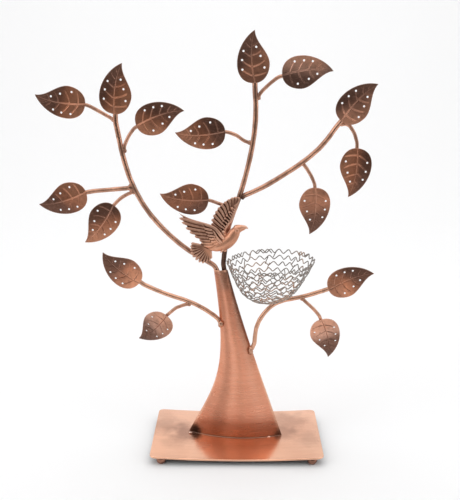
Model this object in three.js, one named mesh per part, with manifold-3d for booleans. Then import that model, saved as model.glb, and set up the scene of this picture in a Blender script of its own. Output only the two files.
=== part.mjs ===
// Jewelry tree: sheet base on ball feet, rolled trunk, rod branches, stamped leaves,
// a cast bird and a nest of crimped wire for rings. Millimetres.
// +X is to the right, +Y is away from the front, +Z is up and the floor is Z 0.

import * as THREE from 'three';
import { mergeVertices } from 'three/addons/utils/BufferGeometryUtils.js';
import Module from 'manifold-3d';

const wasm = await Module();
wasm.setup();

// Gap left between pieces that touch or are welded
const clearance = 0.3;

// Base plate and feet
const plateLength = 175;
const plateDepth = 104;
const plateThickness = 2;
const plateCorner = 6;
const plateBow = 3; // rise of the short sides over the middle
const footDiameter = 10;
const footHeight = 7.5; // floor to the underside over a foot
const footFlat = 2.4; // radius of the worn flat that a foot stands on
const footInsetX = 11.5;
const footInsetY = 6.5;

// Trunk, one sheet rolled into a half tube that is open at the back
const trunkHeight = 183;
const trunkSheet = 1.3;
const trunkFootWidth = 99;
const trunkHeadWidth = 13.9;
const trunkHeadShift = 16.6; // the head stands this far left of the foot's middle
const trunkFootShift = 1.6;
const trunkFootBulge = 9; // how far the sheet stands out in front of its edges
const trunkHeadBulge = 6;
const trunkTurn = -0.08; // turn of the foot about the vertical, radians
const trunkEdgeDepth = 1; // where the open back edges lie

// Rods
const rodDiameter = 5;
const lowerRodDiameter = 4.5;
const thickTwigDiameter = 4.4;
const twigDiameter = 3.5;
const rodSeatLength = 22; // stretch of the main rods inside the trunk
const leafLap = 6; // rod end behind the foot of its leaf

// Leaves
const leafLength = 48;
const leafThickness = 1;
const leafHoleDiameter = 2;
const veinDepth = 0.4;
const veinWidth = 1.1;
const midribWidth = 1.6;

// Nest
const nestRadius = 44.5; // outside of the rim
const nestDepth = 41.5;
const nestWire = 1.2;
const nestRows = 6;
const wavePitch = 13;
const nestRise = 0.035; // slope of the rim, up to the right
const nestLean = 2.2; // the bottom hangs this far left of the rim's middle
const nestForward = 6; // the nest's middle stands this far in front of the plate's middle line

// Bird, as long from beak to wing tip as the real casting
const birdLength = 68;
const birdDepth = 9.6;
const featherThickness = 1.5;
const birdSeat = 0.199; // share of the centre branch where the belly meets it
const featherStep = 0.28; // each feather lies this much in front of its neighbour

const copper = new THREE.Color(0xb8734f);
const darkCopper = new THREE.Color(0x6b3c2a);
const steel = new THREE.Color(0x9a938c);

function metal(colour, roughness) {
  return new THREE.MeshStandardMaterial({ color: colour, roughness, metalness: 1 });
}

// Solids and meshes

function weldedIndex(geometry) {
  const bare = geometry.clone();
  for (const name of Object.keys(bare.attributes)) {
    if (name !== 'position') bare.deleteAttribute(name);
  }
  const merged = mergeVertices(bare, 1e-4);
  const kept = [];
  const index = merged.index.array;
  for (let i = 0; i < index.length; i += 3) {
    const [a, b, c] = index.slice(i, i + 3);
    if (a !== b && b !== c && c !== a) kept.push(a, b, c);
  }
  merged.setIndex(kept);
  return merged;
}

function toSolid(geometry) {
  const merged = weldedIndex(geometry);
  return new wasm.Manifold(new wasm.Mesh({
    numProp: 3,
    vertProperties: new Float32Array(merged.attributes.position.array),
    triVerts: new Uint32Array(merged.index.array),
  }));
}

function toGeometry(solid) {
  const mesh = solid.getMesh();
  const geometry = new THREE.BufferGeometry();
  geometry.setAttribute('position', new THREE.BufferAttribute(mesh.vertProperties, 3));
  geometry.setIndex(new THREE.BufferAttribute(mesh.triVerts, 1));
  geometry.computeVertexNormals();
  return geometry;
}

function join(geometries) {
  return geometries.map(toSolid).reduce((whole, piece) => whole.add(piece));
}

function bend(geometry, place) {
  const position = geometry.attributes.position;
  const point = new THREE.Vector3();
  for (let i = 0; i < position.count; i += 1) {
    place(point.fromBufferAttribute(position, i));
    position.setXYZ(i, point.x, point.y, point.z);
  }
  return geometry;
}

function prism(outline, depth, steps = 6) {
  return new THREE.ExtrudeGeometry(outline, { depth, curveSegments: steps, bevelEnabled: false });
}

function polygon(sides, radius) {
  const corners = [];
  for (let i = 0; i < sides; i += 1) {
    const turn = (2 * Math.PI * (i + 0.5)) / sides;
    corners.push(new THREE.Vector2(radius * Math.cos(turn), radius * Math.sin(turn)));
  }
  return new THREE.Shape(corners);
}

function rod(path, diameter, sides, steps) {
  const section = polygon(sides, diameter / 2);
  return new THREE.ExtrudeGeometry(section, { steps, extrudePath: path, bevelEnabled: false });
}

function route(points) {
  return new THREE.CatmullRomCurve3(points, false, 'centripetal');
}

const mix = THREE.MathUtils.lerp;

// Base plate: a bowed sheet cut to a rectangle with round corners

const footX = plateLength / 2 - footInsetX;
const footY = plateDepth / 2 - footInsetY;

function underside(x) {
  const half = plateLength / 2;
  return footHeight + (plateBow * (x * x - footX * footX)) / (half * half);
}

function plateTop(x) {
  return underside(x) + plateThickness;
}

function basePlate() {
  const slab = new THREE.BoxGeometry(1, 1, 1, 10, 1, 1);
  const overrun = 1.1;
  bend(slab, (p) => {
    const x = p.x * plateLength * overrun;
    p.set(x, p.y * plateDepth * overrun, underside(x) + (p.z + 0.5) * plateThickness);
  });
  const x = plateLength / 2;
  const y = plateDepth / 2;
  const r = plateCorner;
  const outline = new THREE.Shape();
  outline.absarc(x - r, y - r, r, 0, Math.PI / 2);
  outline.absarc(r - x, y - r, r, Math.PI / 2, Math.PI);
  outline.absarc(r - x, r - y, r, Math.PI, 1.5 * Math.PI);
  outline.absarc(x - r, r - y, r, 1.5 * Math.PI, 2 * Math.PI);
  const cutter = prism(outline, 4 * footHeight, 4);
  return toGeometry(toSolid(slab).intersect(toSolid(cutter)));
}

function foot() {
  const radius = footDiameter / 2;
  const middle = Math.sqrt(radius * radius - footFlat * footFlat);
  const top = underside(footX - radius) - clearance;
  const start = -Math.asin(Math.min(1, middle / radius));
  const end = Math.asin(Math.min(1, (top - middle) / radius));
  const profile = [new THREE.Vector2(0, 0)];
  const steps = 4;
  for (let i = 0; i <= steps; i += 1) {
    const angle = mix(start, end, i / steps);
    profile.push(new THREE.Vector2(radius * Math.cos(angle), middle + radius * Math.sin(angle)));
  }
  profile.push(new THREE.Vector2(0, middle + radius * Math.sin(end)));
  return weldedIndex(new THREE.LatheGeometry(profile, 9).rotateX(Math.PI / 2));
}

// Trunk: two side curves, and an arc between them at every height

const leftEdge = new THREE.CubicBezierCurve(
  new THREE.Vector2(-trunkFootShift - trunkFootWidth / 2, 0),
  new THREE.Vector2(-20.5, 0.34),
  new THREE.Vector2(-8.2, 0.38),
  new THREE.Vector2(-trunkHeadShift - trunkHeadWidth / 2, 1),
);
const rightEdge = new THREE.CubicBezierCurve(
  new THREE.Vector2(-trunkFootShift + trunkFootWidth / 2, 0),
  new THREE.Vector2(27.5, 0.33),
  new THREE.Vector2(5.2, 0.67),
  new THREE.Vector2(-trunkHeadShift + trunkHeadWidth / 2, 1),
);

function atHeight(edge, share) {
  let low = 0;
  let high = 1;
  for (let i = 0; i < 30; i += 1) {
    const middle = (low + high) / 2;
    if (edge.getPoint(middle).y < share) low = middle;
    else high = middle;
  }
  return edge.getPoint((low + high) / 2).x;
}

const trunkTop = plateTop(0) + clearance + trunkHeight;

function trunkSection(share) {
  const left = atHeight(leftEdge, share);
  const right = atHeight(rightEdge, share);
  const half = (right - left) / 2;
  const bulge = mix(trunkFootBulge, trunkHeadBulge, share);
  const radius = (half * half + bulge * bulge) / (2 * bulge);
  const spread = Math.asin(Math.min(1, half / radius));
  return { middle: (left + right) / 2, half, bulge, radius, spread, turn: trunkTurn * (1 - share) };
}

function trunkPoint(across, outset, share, into) {
  const { middle, bulge, radius, spread, turn } = trunkSection(share);
  const reach = radius + outset;
  const x = reach * Math.sin(spread * across);
  const y = radius - bulge - reach * Math.cos(spread * across);
  const px = middle + x * Math.cos(turn) - y * Math.sin(turn);
  const py = trunkEdgeDepth + x * Math.sin(turn) + y * Math.cos(turn);
  const bottom = plateTop(px) + clearance;
  return into.set(px, py, mix(bottom, trunkTop, share));
}

// The sheet, grown all round by a margin where it is used as a cutter
function trunkSheetBody(margin = 0) {
  const sheet = new THREE.BoxGeometry(1, 1, 1, 10, 1, 8);
  return bend(sheet, (p) => {
    const offset = p.y < 0 ? margin : -trunkSheet - margin;
    const share = p.z + 0.5;
    const backEdge = Math.abs(p.x) === 0.5;
    trunkPoint(2 * p.x, offset, share, p);
    if (share === 1) p.z += margin;
    if (backEdge) p.y += margin;
  });
}

// Space that rod ends welded to the trunk stay out of
function trunkKeepOut() {
  const solid = new THREE.BoxGeometry(1, 1, 1, 10, 1, 8);
  return toSolid(bend(solid, (p) => {
    const across = 2 * p.x;
    const share = p.z + 0.5;
    const inner = p.y > 0;
    trunkPoint(across, clearance, share, p);
    if (inner) p.y = trunkEdgeDepth + footDiameter;
  }));
}

// Where a main rod stands inside the rolled sheet, nested against it
function rodSeat(side, share) {
  const { middle, bulge, radius } = trunkSection(share);
  const offset = (rodDiameter + clearance) / 2;
  const room = radius - trunkSheet - rodDiameter / 2 - clearance;
  const forward = Math.sqrt(Math.max(0, room * room - offset * offset));
  const y = trunkEdgeDepth + radius - bulge - forward;
  return new THREE.Vector3(middle + side * offset, y, mix(plateTop(0), trunkTop, share));
}

const seatShare = 1 - rodSeatLength / trunkHeight;

// Steps [right, up] or [right, up, away] from a start point
function stepsFrom(start, steps) {
  return steps.map(([x, z, y = 0]) => new THREE.Vector3(start.x + x, start.y + y, start.z + z));
}

function leafFrame(turn, tilt) {
  return new THREE.Euler(Math.PI / 2, tilt, turn, 'XZY');
}

// A rod's route ends behind its leaf, along the leaf
function withLap(points, leaf) {
  const along = new THREE.Vector3(leafLap, 0, 0).applyEuler(leafFrame(leaf.turn, leaf.tilt));
  return route([...points, points[points.length - 1].clone().add(along)]);
}

function degrees(value) {
  return THREE.MathUtils.degToRad(value);
}

function leafAt(turn, tilt = 0) {
  return { turn: degrees(turn), tilt: degrees(tilt) };
}

// Main branches, from inside the trunk up to the leaf on their end

function mainRoute(side, steps, leaf) {
  const head = rodSeat(side, 1);
  const points = [rodSeat(side, seatShare), head, ...stepsFrom(head, steps)];
  return withLap(points, leaf);
}

const leafLeftTip = leafAt(78.4);
const leafCentreTip = leafAt(90.2);
const leafRightTip = leafAt(45.8);
const leafLowerLeftTip = leafAt(136.6, -4);
const leafLowerRightTip = leafAt(20.8);

const leftPath = mainRoute(-1, [
  [-9.5, 7.3], [-29, 19], [-50, 37], [-69.5, 60], [-83, 85.5], [-91, 112], [-95.3, 136], [-98, 153.5],
], leafLeftTip);
const centrePath = mainRoute(1, [
  [1.5, 18], [5.8, 45], [16.5, 75], [24.4, 104], [30, 134], [31.4, 160], [30, 182.2],
], leafCentreTip);

const rightStart = 0.452;
const rightPath = withLap([
  centrePath.getPointAt(rightStart),
  ...stepsFrom(centrePath.getPointAt(rightStart), [
    [23, 10.4], [43.9, 23.2], [62.5, 35.9], [79.9, 51.5], [96.6, 74.6],
  ]),
], leafRightTip);

// Lower branches, from the trunk's side edges

function trunkSide(side, share) {
  return trunkPoint(side, -trunkSheet / 2, share, new THREE.Vector3());
}

const lowerLeftRoot = trunkSide(-1, 0.69).add(new THREE.Vector3(0.8, -2, 0));
const lowerLeftPath = withLap([
  lowerLeftRoot,
  ...stepsFrom(lowerLeftRoot, [[-9.3, 9.5], [-18.4, 15.4], [-31, 22], [-57, 31], [-82, 42.8]]),
], leafLowerLeftTip);

const lowerRightRoot = trunkSide(1, 0.523).add(new THREE.Vector3(-0.8, -2, 0));
const lowerRightPath = withLap([
  lowerRightRoot,
  ...stepsFrom(lowerRightRoot, [
    [3, 5], [4, 15, 0.5], [6, 27.5, 1], [11.5, 38, 1.5], [19.5, 47.2, 2], [29.5, 53.3, 2], [41, 55.8, 2],
    [54.5, 58.8, 2], [77.5, 66.6, 1],
  ]),
], leafLowerRightTip);

// Side twigs: the branch each leaves, where along it, its steps and its leaf

const twigTable = [
  ['left_top_outer', leftPath, 0.943, [[-14, 8.2], [-27.6, 15.3]], leafAt(168.7)],
  ['left_top_inner', leftPath, 0.802, [[2.6, 7], [6.6, 15.5], [15, 25.9]], leafAt(17)],
  ['left_middle_outer', leftPath, 0.64, [[-22, -2], [-46.5, -4.4]], leafAt(-165.9)],
  ['left_middle_inner', leftPath, 0.623, [[-12, -5], [-21.7, -13.8]], leafAt(-128.8)],
  ['centre_upper_outer', centrePath, 0.902, [[3.2, 4.6], [14.6, 15.6], [24.5, 22.3]], leafAt(4.2)],
  ['centre_upper_inner', centrePath, 0.705, [[-7.3, 2.2], [-16.3, 8.6], [-26.4, 11.8]], leafAt(-179.1)],
  ['centre_low', centrePath, 0.399, [[-12, 3.6], [-25.7, 8.5]], leafAt(172)],
  ['right_outer', rightPath, 0.93, [[8, 0.4], [15.8, -10], [19, -23.3]], leafAt(-99.2)],
  ['right_inner', rightPath, 0.54, [[7.9, -10.8], [13.5, -24]], leafAt(-95.6, 6)],
  ['lower_left', lowerLeftPath, 0.368, [[-17, -6], [-25, -13.2]], leafAt(-135.7, 22)],
  ['lower_right', lowerRightPath, 0.711, [[4.4, -4.4], [13, -12.4], [21.2, -22.8]], leafAt(-78.4, 14)],
];

// Leaf: outline, holes and veins as shares of its length, along it and to its full side

function leafPoint(along, side) {
  return new THREE.Vector2(along * leafLength, side * leafLength);
}

function leafOutline() {
  const outline = new THREE.Shape();
  const curve = (...shares) => {
    const points = shares.map(([along, side]) => leafPoint(along, side));
    outline.bezierCurveTo(...points.flatMap((p) => [p.x, p.y]));
  };
  outline.moveTo(0, 0);
  curve([0, -0.17], [0.16, -0.29], [0.37, -0.29]);
  curve([0.6, -0.28], [0.76, 0], [1, 0]);
  curve([0.72, 0.44], [-0.03, 0.48], [0, 0]);
  return outline;
}

const leafHoles = [
  [0.255, 0.24], [0.436, 0.247], [0.605, 0.22], [0.295, -0.187], [0.512, -0.11], [0.682, -0.026],
];

const midrib = new THREE.QuadraticBezierCurve(leafPoint(0.02, 0), leafPoint(0.55, 0.12), leafPoint(0.95, 0.02));

// A groove as a thin wedge from a wide root to a point
function groove(path, width, steps) {
  const near = [];
  const far = [];
  for (let i = 0; i < steps; i += 1) {
    const share = i / steps;
    const point = path.getPoint(share);
    const across = path.getTangent(share).rotateAround(new THREE.Vector2(), Math.PI / 2);
    const half = (width * (1 - share * 0.7)) / 2;
    near.push(point.clone().addScaledVector(across, half));
    far.unshift(point.clone().addScaledVector(across, -half));
  }
  return prism(new THREE.Shape([...far, ...near, path.getPoint(1)]), leafThickness);
}

// Side veins: share of the midrib where each starts, reach to the full and to the hollow side
const sideVeins = [[0.2, 0.3, -0.23], [0.42, 0.25, -0.19], [0.64, 0.16, -0.11]];

function veins() {
  const cuts = [groove(midrib, midribWidth, 2)];
  for (const [share, full, hollow] of sideVeins) {
    for (const reach of [full, hollow]) {
      const start = midrib.getPoint(share);
      const advance = 0.12 + 0.1 * share;
      const end = start.clone().add(leafPoint(advance, reach));
      cuts.push(groove(new THREE.LineCurve(start, end), veinWidth, 1));
    }
  }
  return join(cuts).translate([0, 0, leafThickness - veinDepth]);
}

function leafBody() {
  const outline = leafOutline();
  for (const [along, side] of leafHoles) {
    const centre = leafPoint(along, side);
    const corners = polygon(4, leafHoleDiameter / 2).getPoints().map((p) => p.add(centre));
    outline.holes.push(new THREE.Path(corners));
  }
  return toGeometry(toSolid(prism(outline, leafThickness, 4)).subtract(veins()));
}

// Nest: hoops of crimped wire on a bowl's profile, where each crest meets the hoop above

const bowl = new THREE.CubicBezierCurve(
  new THREE.Vector2(0, 0),
  new THREE.Vector2(0.62 * nestRadius, -0.02 * nestDepth),
  new THREE.Vector2(0.72 * nestRadius, 0.42 * nestDepth),
  new THREE.Vector2(nestRadius - nestWire / 2, nestDepth),
);
const bowlFloor = 0.07; // share of the profile that stays open in the middle of the bottom
const hoopSpacing = (1 - bowlFloor) / nestRows;
const crestLap = 1.05; // wave height over hoop spacing, so that the wires cross and hold
const waveHeight = crestLap * hoopSpacing * bowl.getLength();

function wavesIn(row) {
  const radius = bowl.getPointAt(1 - (row + 0.5) * hoopSpacing).x;
  return Math.max(5, Math.round((2 * Math.PI * radius) / wavePitch));
}

function hoop(row, start) {
  const share = 1 - (row + 0.5) * hoopSpacing;
  const point = bowl.getPointAt(share);
  const slope = bowl.getTangentAt(share);
  const waves = wavesIn(row);
  const ring = weldedIndex(new THREE.TorusGeometry(point.x, nestWire / 2, 3, 2 * waves));
  const wavy = bend(ring, (p) => {
    const turn = Math.atan2(p.y, p.x);
    const step = Math.round((turn * waves) / Math.PI);
    const shift = (waveHeight / 2) * (step % 2 === 0 ? 1 : -1);
    const reach = Math.hypot(p.x, p.y) + shift * slope.x;
    p.set(reach * Math.cos(turn), reach * Math.sin(turn), p.z + point.y + shift * slope.y);
  });
  return wavy.rotateZ(start);
}

// The nest hangs a little to the left and its rim rises to the right
function leanNest(p) {
  p.x -= nestLean * (1 - p.z / nestDepth);
  p.z += nestRise * p.x;
  return p;
}

function nestBody() {
  const hoops = [];
  let start = 0;
  for (let row = 0; row < nestRows; row += 1) {
    hoops.push(hoop(row, start));
    start += Math.PI / wavesIn(row);
  }
  return bend(toGeometry(join(hoops)), leanNest);
}

function bowlHeight(radius) {
  let low = 0;
  let high = 1;
  for (let i = 0; i < 30; i += 1) {
    const middle = (low + high) / 2;
    if (bowl.getPoint(middle).x < radius) low = middle;
    else high = middle;
  }
  return bowl.getPoint((low + high) / 2).y;
}

// Share of the centre branch that the rim's left side touches
const rimShare = 0.155;

function nestMiddleX() {
  const beside = centrePath.getPointAt(rimShare);
  const apart = nestRadius + rodDiameter / 2 + clearance;
  const away = Math.min(apart, beside.y + nestForward);
  return beside.x + Math.sqrt(apart * apart - away * away);
}

const nestMiddle = new THREE.Vector3(nestMiddleX(), -nestForward, 0);

// The lowest place where the bowl clears the branch that carries it
function nestPlace() {
  const samples = 80;
  const reach = (lowerRodDiameter + nestWire) / 2 + clearance;
  let floor = 0;
  for (let i = 0; i <= samples; i += 1) {
    const p = lowerRightPath.getPointAt(i / samples);
    const x = p.x - nestMiddle.x + nestLean;
    const radius = Math.hypot(x, p.y - nestMiddle.y);
    if (radius < nestRadius - reach) {
      const lift = Math.hypot(reach, reach * (bowlHeight(radius + 1) - bowlHeight(radius)));
      floor = Math.max(floor, p.z + lift - bowlHeight(radius) - nestRise * x);
    }
  }
  return new THREE.Vector3(nestMiddle.x, nestMiddle.y, floor);
}

// Bird: shares of its own length, right and up from where its belly meets the centre branch

function birdPoint(right, up) {
  return new THREE.Vector2(right * birdLength, up * birdLength);
}

// A tapering round body along a curve in the bird's plane, closed at both ends
function taper(points, widths, depthShare, sides, steps, level) {
  const path = new THREE.SplineCurve(points.map(([x, z]) => birdPoint(x, z)));
  const girth = new THREE.SplineCurve(widths.map(([at, width]) => new THREE.Vector2(at, width * birdLength)));
  const profile = [];
  for (let i = 0; i <= steps; i += 1) {
    const share = i / steps;
    const ends = i === 0 || i === steps;
    profile.push(new THREE.Vector2(ends ? 0 : girth.getPoint(share).y, share));
  }
  const body = new THREE.LatheGeometry(profile, sides);
  return weldedIndex(bend(body, (p) => {
    const share = THREE.MathUtils.clamp(p.y, 0, 1);
    const centre = path.getPoint(share);
    const across = path.getTangent(share).rotateAround(new THREE.Vector2(), Math.PI / 2);
    const out = p.x;
    const deep = p.z * depthShare;
    p.set(centre.x - across.x * out, level - deep, centre.y - across.y * out);
  }));
}

// One feather from its root to its tip, tilted so that one edge stands proud
function feather(root, tip, width, level) {
  const length = root.distanceTo(tip);
  const half = width / 2;
  const outline = new THREE.Shape([
    new THREE.Vector2(0, -half * 0.7), new THREE.Vector2(length * 0.86, -half * 0.9),
    new THREE.Vector2(length, 0), new THREE.Vector2(length * 0.86, half * 0.9),
    new THREE.Vector2(0, half * 0.7),
  ]);
  const blade = prism(outline, featherThickness);
  const turn = Math.atan2(tip.y - root.y, tip.x - root.x);
  blade.rotateX(0.16);
  blade.rotateZ(turn);
  blade.rotateX(Math.PI / 2);
  return blade.translate(root.x, level, root.y);
}

// A fan of feathers from a line of roots to a line of tips
function fan(roots, tips, count, width, level, step) {
  const rootLine = new THREE.QuadraticBezierCurve(...roots.map(([x, z]) => birdPoint(x, z)));
  const tipLine = new THREE.QuadraticBezierCurve(...tips.map(([x, z]) => birdPoint(x, z)));
  const feathers = [];
  for (let i = 0; i < count; i += 1) {
    const share = i / (count - 1);
    const size = width * birdLength;
    feathers.push(feather(rootLine.getPoint(share), tipLine.getPoint(share), size, level - i * step));
  }
  return feathers;
}

const birdSides = 7;

function birdBody() {
  const half = birdDepth / 2;
  const armWidths = [[0, 0.03], [0.3, 0.028], [0.6, 0.02], [0.9, 0.014], [1, 0.01]];
  const nearLevel = -half * 0.2;
  const farLevel = half * 0.5;
  return toGeometry(join([
    taper([[-0.2, -0.02], [-0.03, 0.06], [0.08, 0.145], [0.125, 0.24], [0.165, 0.325], [0.255, 0.345],
      [0.334, 0.35]],
    [[0, 0.045], [0.2, 0.078], [0.4, 0.09], [0.6, 0.068], [0.76, 0.062], [0.9, 0.024], [1, 0.01]],
    half / (0.09 * birdLength), birdSides, 9, 0),
    taper([[0.09, 0.13], [-0.054, 0.184], [-0.2, 0.338], [-0.354, 0.38], [-0.503, 0.435], [-0.65, 0.545]],
      armWidths, 1, 4, 6, nearLevel - 0.6),
    taper([[0.02, 0.2], [0.078, 0.382], [0.122, 0.5], [0.159, 0.618], [0.27, 0.74]],
      armWidths, 1, 4, 5, farLevel - 0.5),
    ...fan([[-0.2, 0.323], [-0.12, 0.13], [-0.03, 0.03]], [[-0.657, 0.53], [-0.555, 0.28], [-0.334, 0.059]],
      7, 0.12, nearLevel, featherStep),
    ...fan([[-0.2, 0.35], [-0.1, 0.17], [0.05, 0.06]], [[-0.407, 0.375], [-0.32, 0.21], [-0.17, 0.03]],
      3, 0.13, nearLevel - 1.2, featherStep),
    ...fan([[0.196, 0.66], [0.107, 0.456], [0.02, 0.2]], [[0.281, 0.745], [-0.047, 0.831], [-0.2, 0.39]],
      7, 0.13, farLevel, featherStep),
    ...fan([[-0.14, 0.05], [-0.13, 0], [-0.14, -0.04]],
      [[-0.395, 0.125], [-0.68, -0.073], [-0.25, -0.155]], 6, 0.11, 0, featherStep),
  ]));
}

// Assembly

const tree = new THREE.Group();

function add(name, geometry, material, place = {}) {
  const mesh = new THREE.Mesh(geometry, material);
  mesh.name = name;
  if (place.position) mesh.position.copy(place.position);
  if (place.rotation) mesh.rotation.copy(place.rotation);
  tree.add(mesh);
  return mesh;
}

function keepClear(solid, others) {
  return others.reduce((rest, [path, diameter, sides, steps]) => (
    rest.subtract(toSolid(rod(path, diameter + 2 * clearance, sides, steps)))
  ), solid);
}

add('base_plate', basePlate(), metal(copper, 0.3));
for (const [side, x] of [['left', -footX], ['right', footX]]) {
  for (const [end, y] of [['front', -footY], ['back', footY]]) {
    add(`foot_${end}_${side}`, foot(), metal(copper, 0.35), { position: new THREE.Vector3(x, y, 0) });
  }
}
add('trunk', trunkSheetBody(), metal(copper, 0.35));

const mainSteps = 16;
const leftRod = [leftPath, rodDiameter, 8, mainSteps];
const centreRod = [centrePath, rodDiameter, 8, mainSteps];
const rightRod = [rightPath, rodDiameter, 8, 10];
const lowerLeftRod = [lowerLeftPath, lowerRodDiameter, 8, 9];
const lowerRightRod = [lowerRightPath, lowerRodDiameter, 8, 14];

// The two long rods stand side by side in the rolled sheet
const rolledSheet = toSolid(trunkSheetBody(clearance));
const centreSolid = toSolid(rod(...centreRod)).subtract(rolledSheet);
const leftSolid = keepClear(toSolid(rod(...leftRod)).subtract(rolledSheet), [centreRod]);

add('branch_left', toGeometry(leftSolid), metal(copper, 0.3));
add('branch_centre', toGeometry(centreSolid), metal(copper, 0.3));
add('branch_right', toGeometry(keepClear(toSolid(rod(...rightRod)), [centreRod])), metal(copper, 0.3));
const lowerLeftSolid = toSolid(rod(...lowerLeftRod)).subtract(trunkKeepOut());
add('branch_lower_left', toGeometry(lowerLeftSolid), metal(copper, 0.3));
const lowerRightSolid = toSolid(rod(...lowerRightRod)).subtract(trunkKeepOut());
add('branch_lower_right', toGeometry(lowerRightSolid), metal(copper, 0.3));

const leafGeometry = leafBody();

function addLeaf(name, path, diameter, leaf) {
  const rotation = leafFrame(leaf.turn, leaf.tilt);
  const along = new THREE.Vector3(1, 0, 0).applyEuler(rotation);
  const face = new THREE.Vector3(0, 0, 1).applyEuler(rotation);
  const position = path.getPointAt(1).addScaledVector(along, -leafLap);
  position.addScaledVector(face, diameter / 2 + clearance);
  add(`leaf_${name}`, leafGeometry, metal(darkCopper, 0.4), { position, rotation });
}

addLeaf('left_tip', leftPath, rodDiameter, leafLeftTip);
addLeaf('centre_tip', centrePath, rodDiameter, leafCentreTip);
addLeaf('right_tip', rightPath, rodDiameter, leafRightTip);
addLeaf('lower_left_tip', lowerLeftPath, lowerRodDiameter, leafLowerLeftTip);
addLeaf('lower_right_tip', lowerRightPath, lowerRodDiameter, leafLowerRightTip);

const parents = [leftRod, centreRod, rightRod, lowerLeftRod, lowerRightRod];
let neighbour = null;
for (const [name, parent, at, steps, leaf] of twigTable) {
  const start = parent.getPointAt(at);
  const path = withLap([start, ...stepsFrom(start, steps)], leaf);
  const diameter = name === 'left_middle_outer' ? thickTwigDiameter : twigDiameter;
  const twigRod = [path, diameter, 6, 4];
  const clear = parents.filter((entry) => entry[0] === parent);
  if (name === 'left_middle_inner') clear.push(neighbour);
  neighbour = twigRod;
  add(`twig_${name}`, toGeometry(keepClear(toSolid(rod(...twigRod)), clear)), metal(copper, 0.3));
  addLeaf(name, path, diameter, leaf);
}

const birdRest = centrePath.getPointAt(birdSeat);
const belly = (birdDepth / 2) * Math.cos(Math.PI / birdSides);
const birdY = birdRest.y - rodDiameter / 2 - clearance - belly;
add('bird', birdBody(), metal(copper, 0.35), {
  position: new THREE.Vector3(birdRest.x, birdY, birdRest.z),
});

add('nest', nestBody(), metal(steel, 0.35), { position: nestPlace() });

// The origin is on the floor under the middle of the whole tree's box
const box = new THREE.Box3().setFromObject(tree, true);
tree.position.set(-(box.min.x + box.max.x) / 2, -(box.min.y + box.max.y) / 2, -box.min.z);

export default tree;
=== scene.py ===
# %% [markdown]
# # A copper-finished jewelry tree
#
# The real object is a table ornament in copper-plated steel. A rolled sheet makes the trunk, bent
# rods make the branches, pressed leaves carry earring holes, a cast bird sits over the trunk and a
# nest of crimped wire holds rings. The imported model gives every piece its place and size. This
# lesson gives each piece its fine surface, and never moves anything.

# %% Load the frame
import math
import random

import bmesh
import bpy
import numpy as np
from mathutils import Matrix, Vector


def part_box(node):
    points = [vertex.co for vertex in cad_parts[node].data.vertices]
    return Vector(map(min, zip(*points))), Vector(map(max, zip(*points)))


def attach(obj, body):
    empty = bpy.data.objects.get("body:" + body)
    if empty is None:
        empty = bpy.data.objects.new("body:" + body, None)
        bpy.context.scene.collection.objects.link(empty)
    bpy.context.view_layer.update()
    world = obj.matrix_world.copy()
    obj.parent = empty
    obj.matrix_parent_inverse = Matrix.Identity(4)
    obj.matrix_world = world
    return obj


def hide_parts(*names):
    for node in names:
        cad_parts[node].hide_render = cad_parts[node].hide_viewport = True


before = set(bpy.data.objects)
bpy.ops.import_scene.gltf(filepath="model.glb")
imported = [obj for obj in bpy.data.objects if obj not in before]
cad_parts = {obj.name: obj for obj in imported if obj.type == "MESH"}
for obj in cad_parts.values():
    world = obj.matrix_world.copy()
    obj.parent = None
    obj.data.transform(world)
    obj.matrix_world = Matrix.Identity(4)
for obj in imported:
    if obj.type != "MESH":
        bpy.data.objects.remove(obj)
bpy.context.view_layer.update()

MM = 0.001
plate_low, plate_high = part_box("base_plate")
middle_x = (plate_low.x + plate_high.x) / 2

# %% [markdown]
# ## Camera, floor and light
#
# A product photo like this one is taken in a white tent. The tent is bright above, behind and at
# the sides, and the opening with the camera is dark. Polished metal is a mirror, so it needs both:
# the white gives the copper its glow, and the dark opening draws a dark core along every rod. The
# opening is a flag, a card that only reflections can see.

# %% Camera at the photograph's angle
camera_distance = 721 * MM
camera_height = 403.5 * MM
camera_pitch = math.radians(15.0)
camera_yaw = math.radians(0.565)


def placed(name, data):
    """A new object for a mesh, a curve, a lamp or a camera, linked to the scene."""
    made = bpy.data.objects.new(name, data)
    bpy.context.scene.collection.objects.link(made)
    return made


camera = placed("camera", bpy.data.cameras.new("camera"))
camera.data.lens = 54
camera.data.sensor_width = 36
camera.location = (middle_x, -camera_distance, camera_height)
camera.rotation_euler = (math.pi / 2 - camera_pitch, 0, camera_yaw)
bpy.context.scene.camera = camera
bpy.context.scene.view_settings.view_transform = "Standard"
print("camera", [round(v, 3) for v in camera.location])

# %% [markdown]
# The stage is paper and cloth. Both start as a flat sheet, like most pieces of the tree later on,
# so the helper for a flat sheet is written here.

# %% Stage helpers
def plain_material(name, colour, roughness):
    material = bpy.data.materials.new(name)
    material.use_nodes = True
    shader = material.node_tree.nodes["Principled BSDF"]
    shader.inputs["Base Color"].default_value = (*colour, 1)
    shader.inputs["Roughness"].default_value = roughness
    shader.inputs["Specular IOR Level"].default_value = 0.2
    return material


def flat_sheet(length, depth, columns=1, rows=1):
    bm = bmesh.new()
    bmesh.ops.create_grid(bm, x_segments=columns, y_segments=rows, size=0.5)
    bmesh.ops.scale(bm, vec=(length, depth, 1), verts=bm.verts)
    return bm


def verts_of(geometry):
    return [v for v in geometry if isinstance(v, bmesh.types.BMVert)]


def stage_object(name, bm, material):
    mesh = bpy.data.meshes.new(name)
    bm.to_mesh(mesh)
    bm.free()
    for polygon in mesh.polygons:
        polygon.use_smooth = True
    mesh.materials.append(material)
    return placed(name, mesh)

# %% Paper sweep
floor_width = 12
floor_depth = 8
sweep_start = 0.9
sweep_radius = 1.6
wall_height = 3


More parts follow.
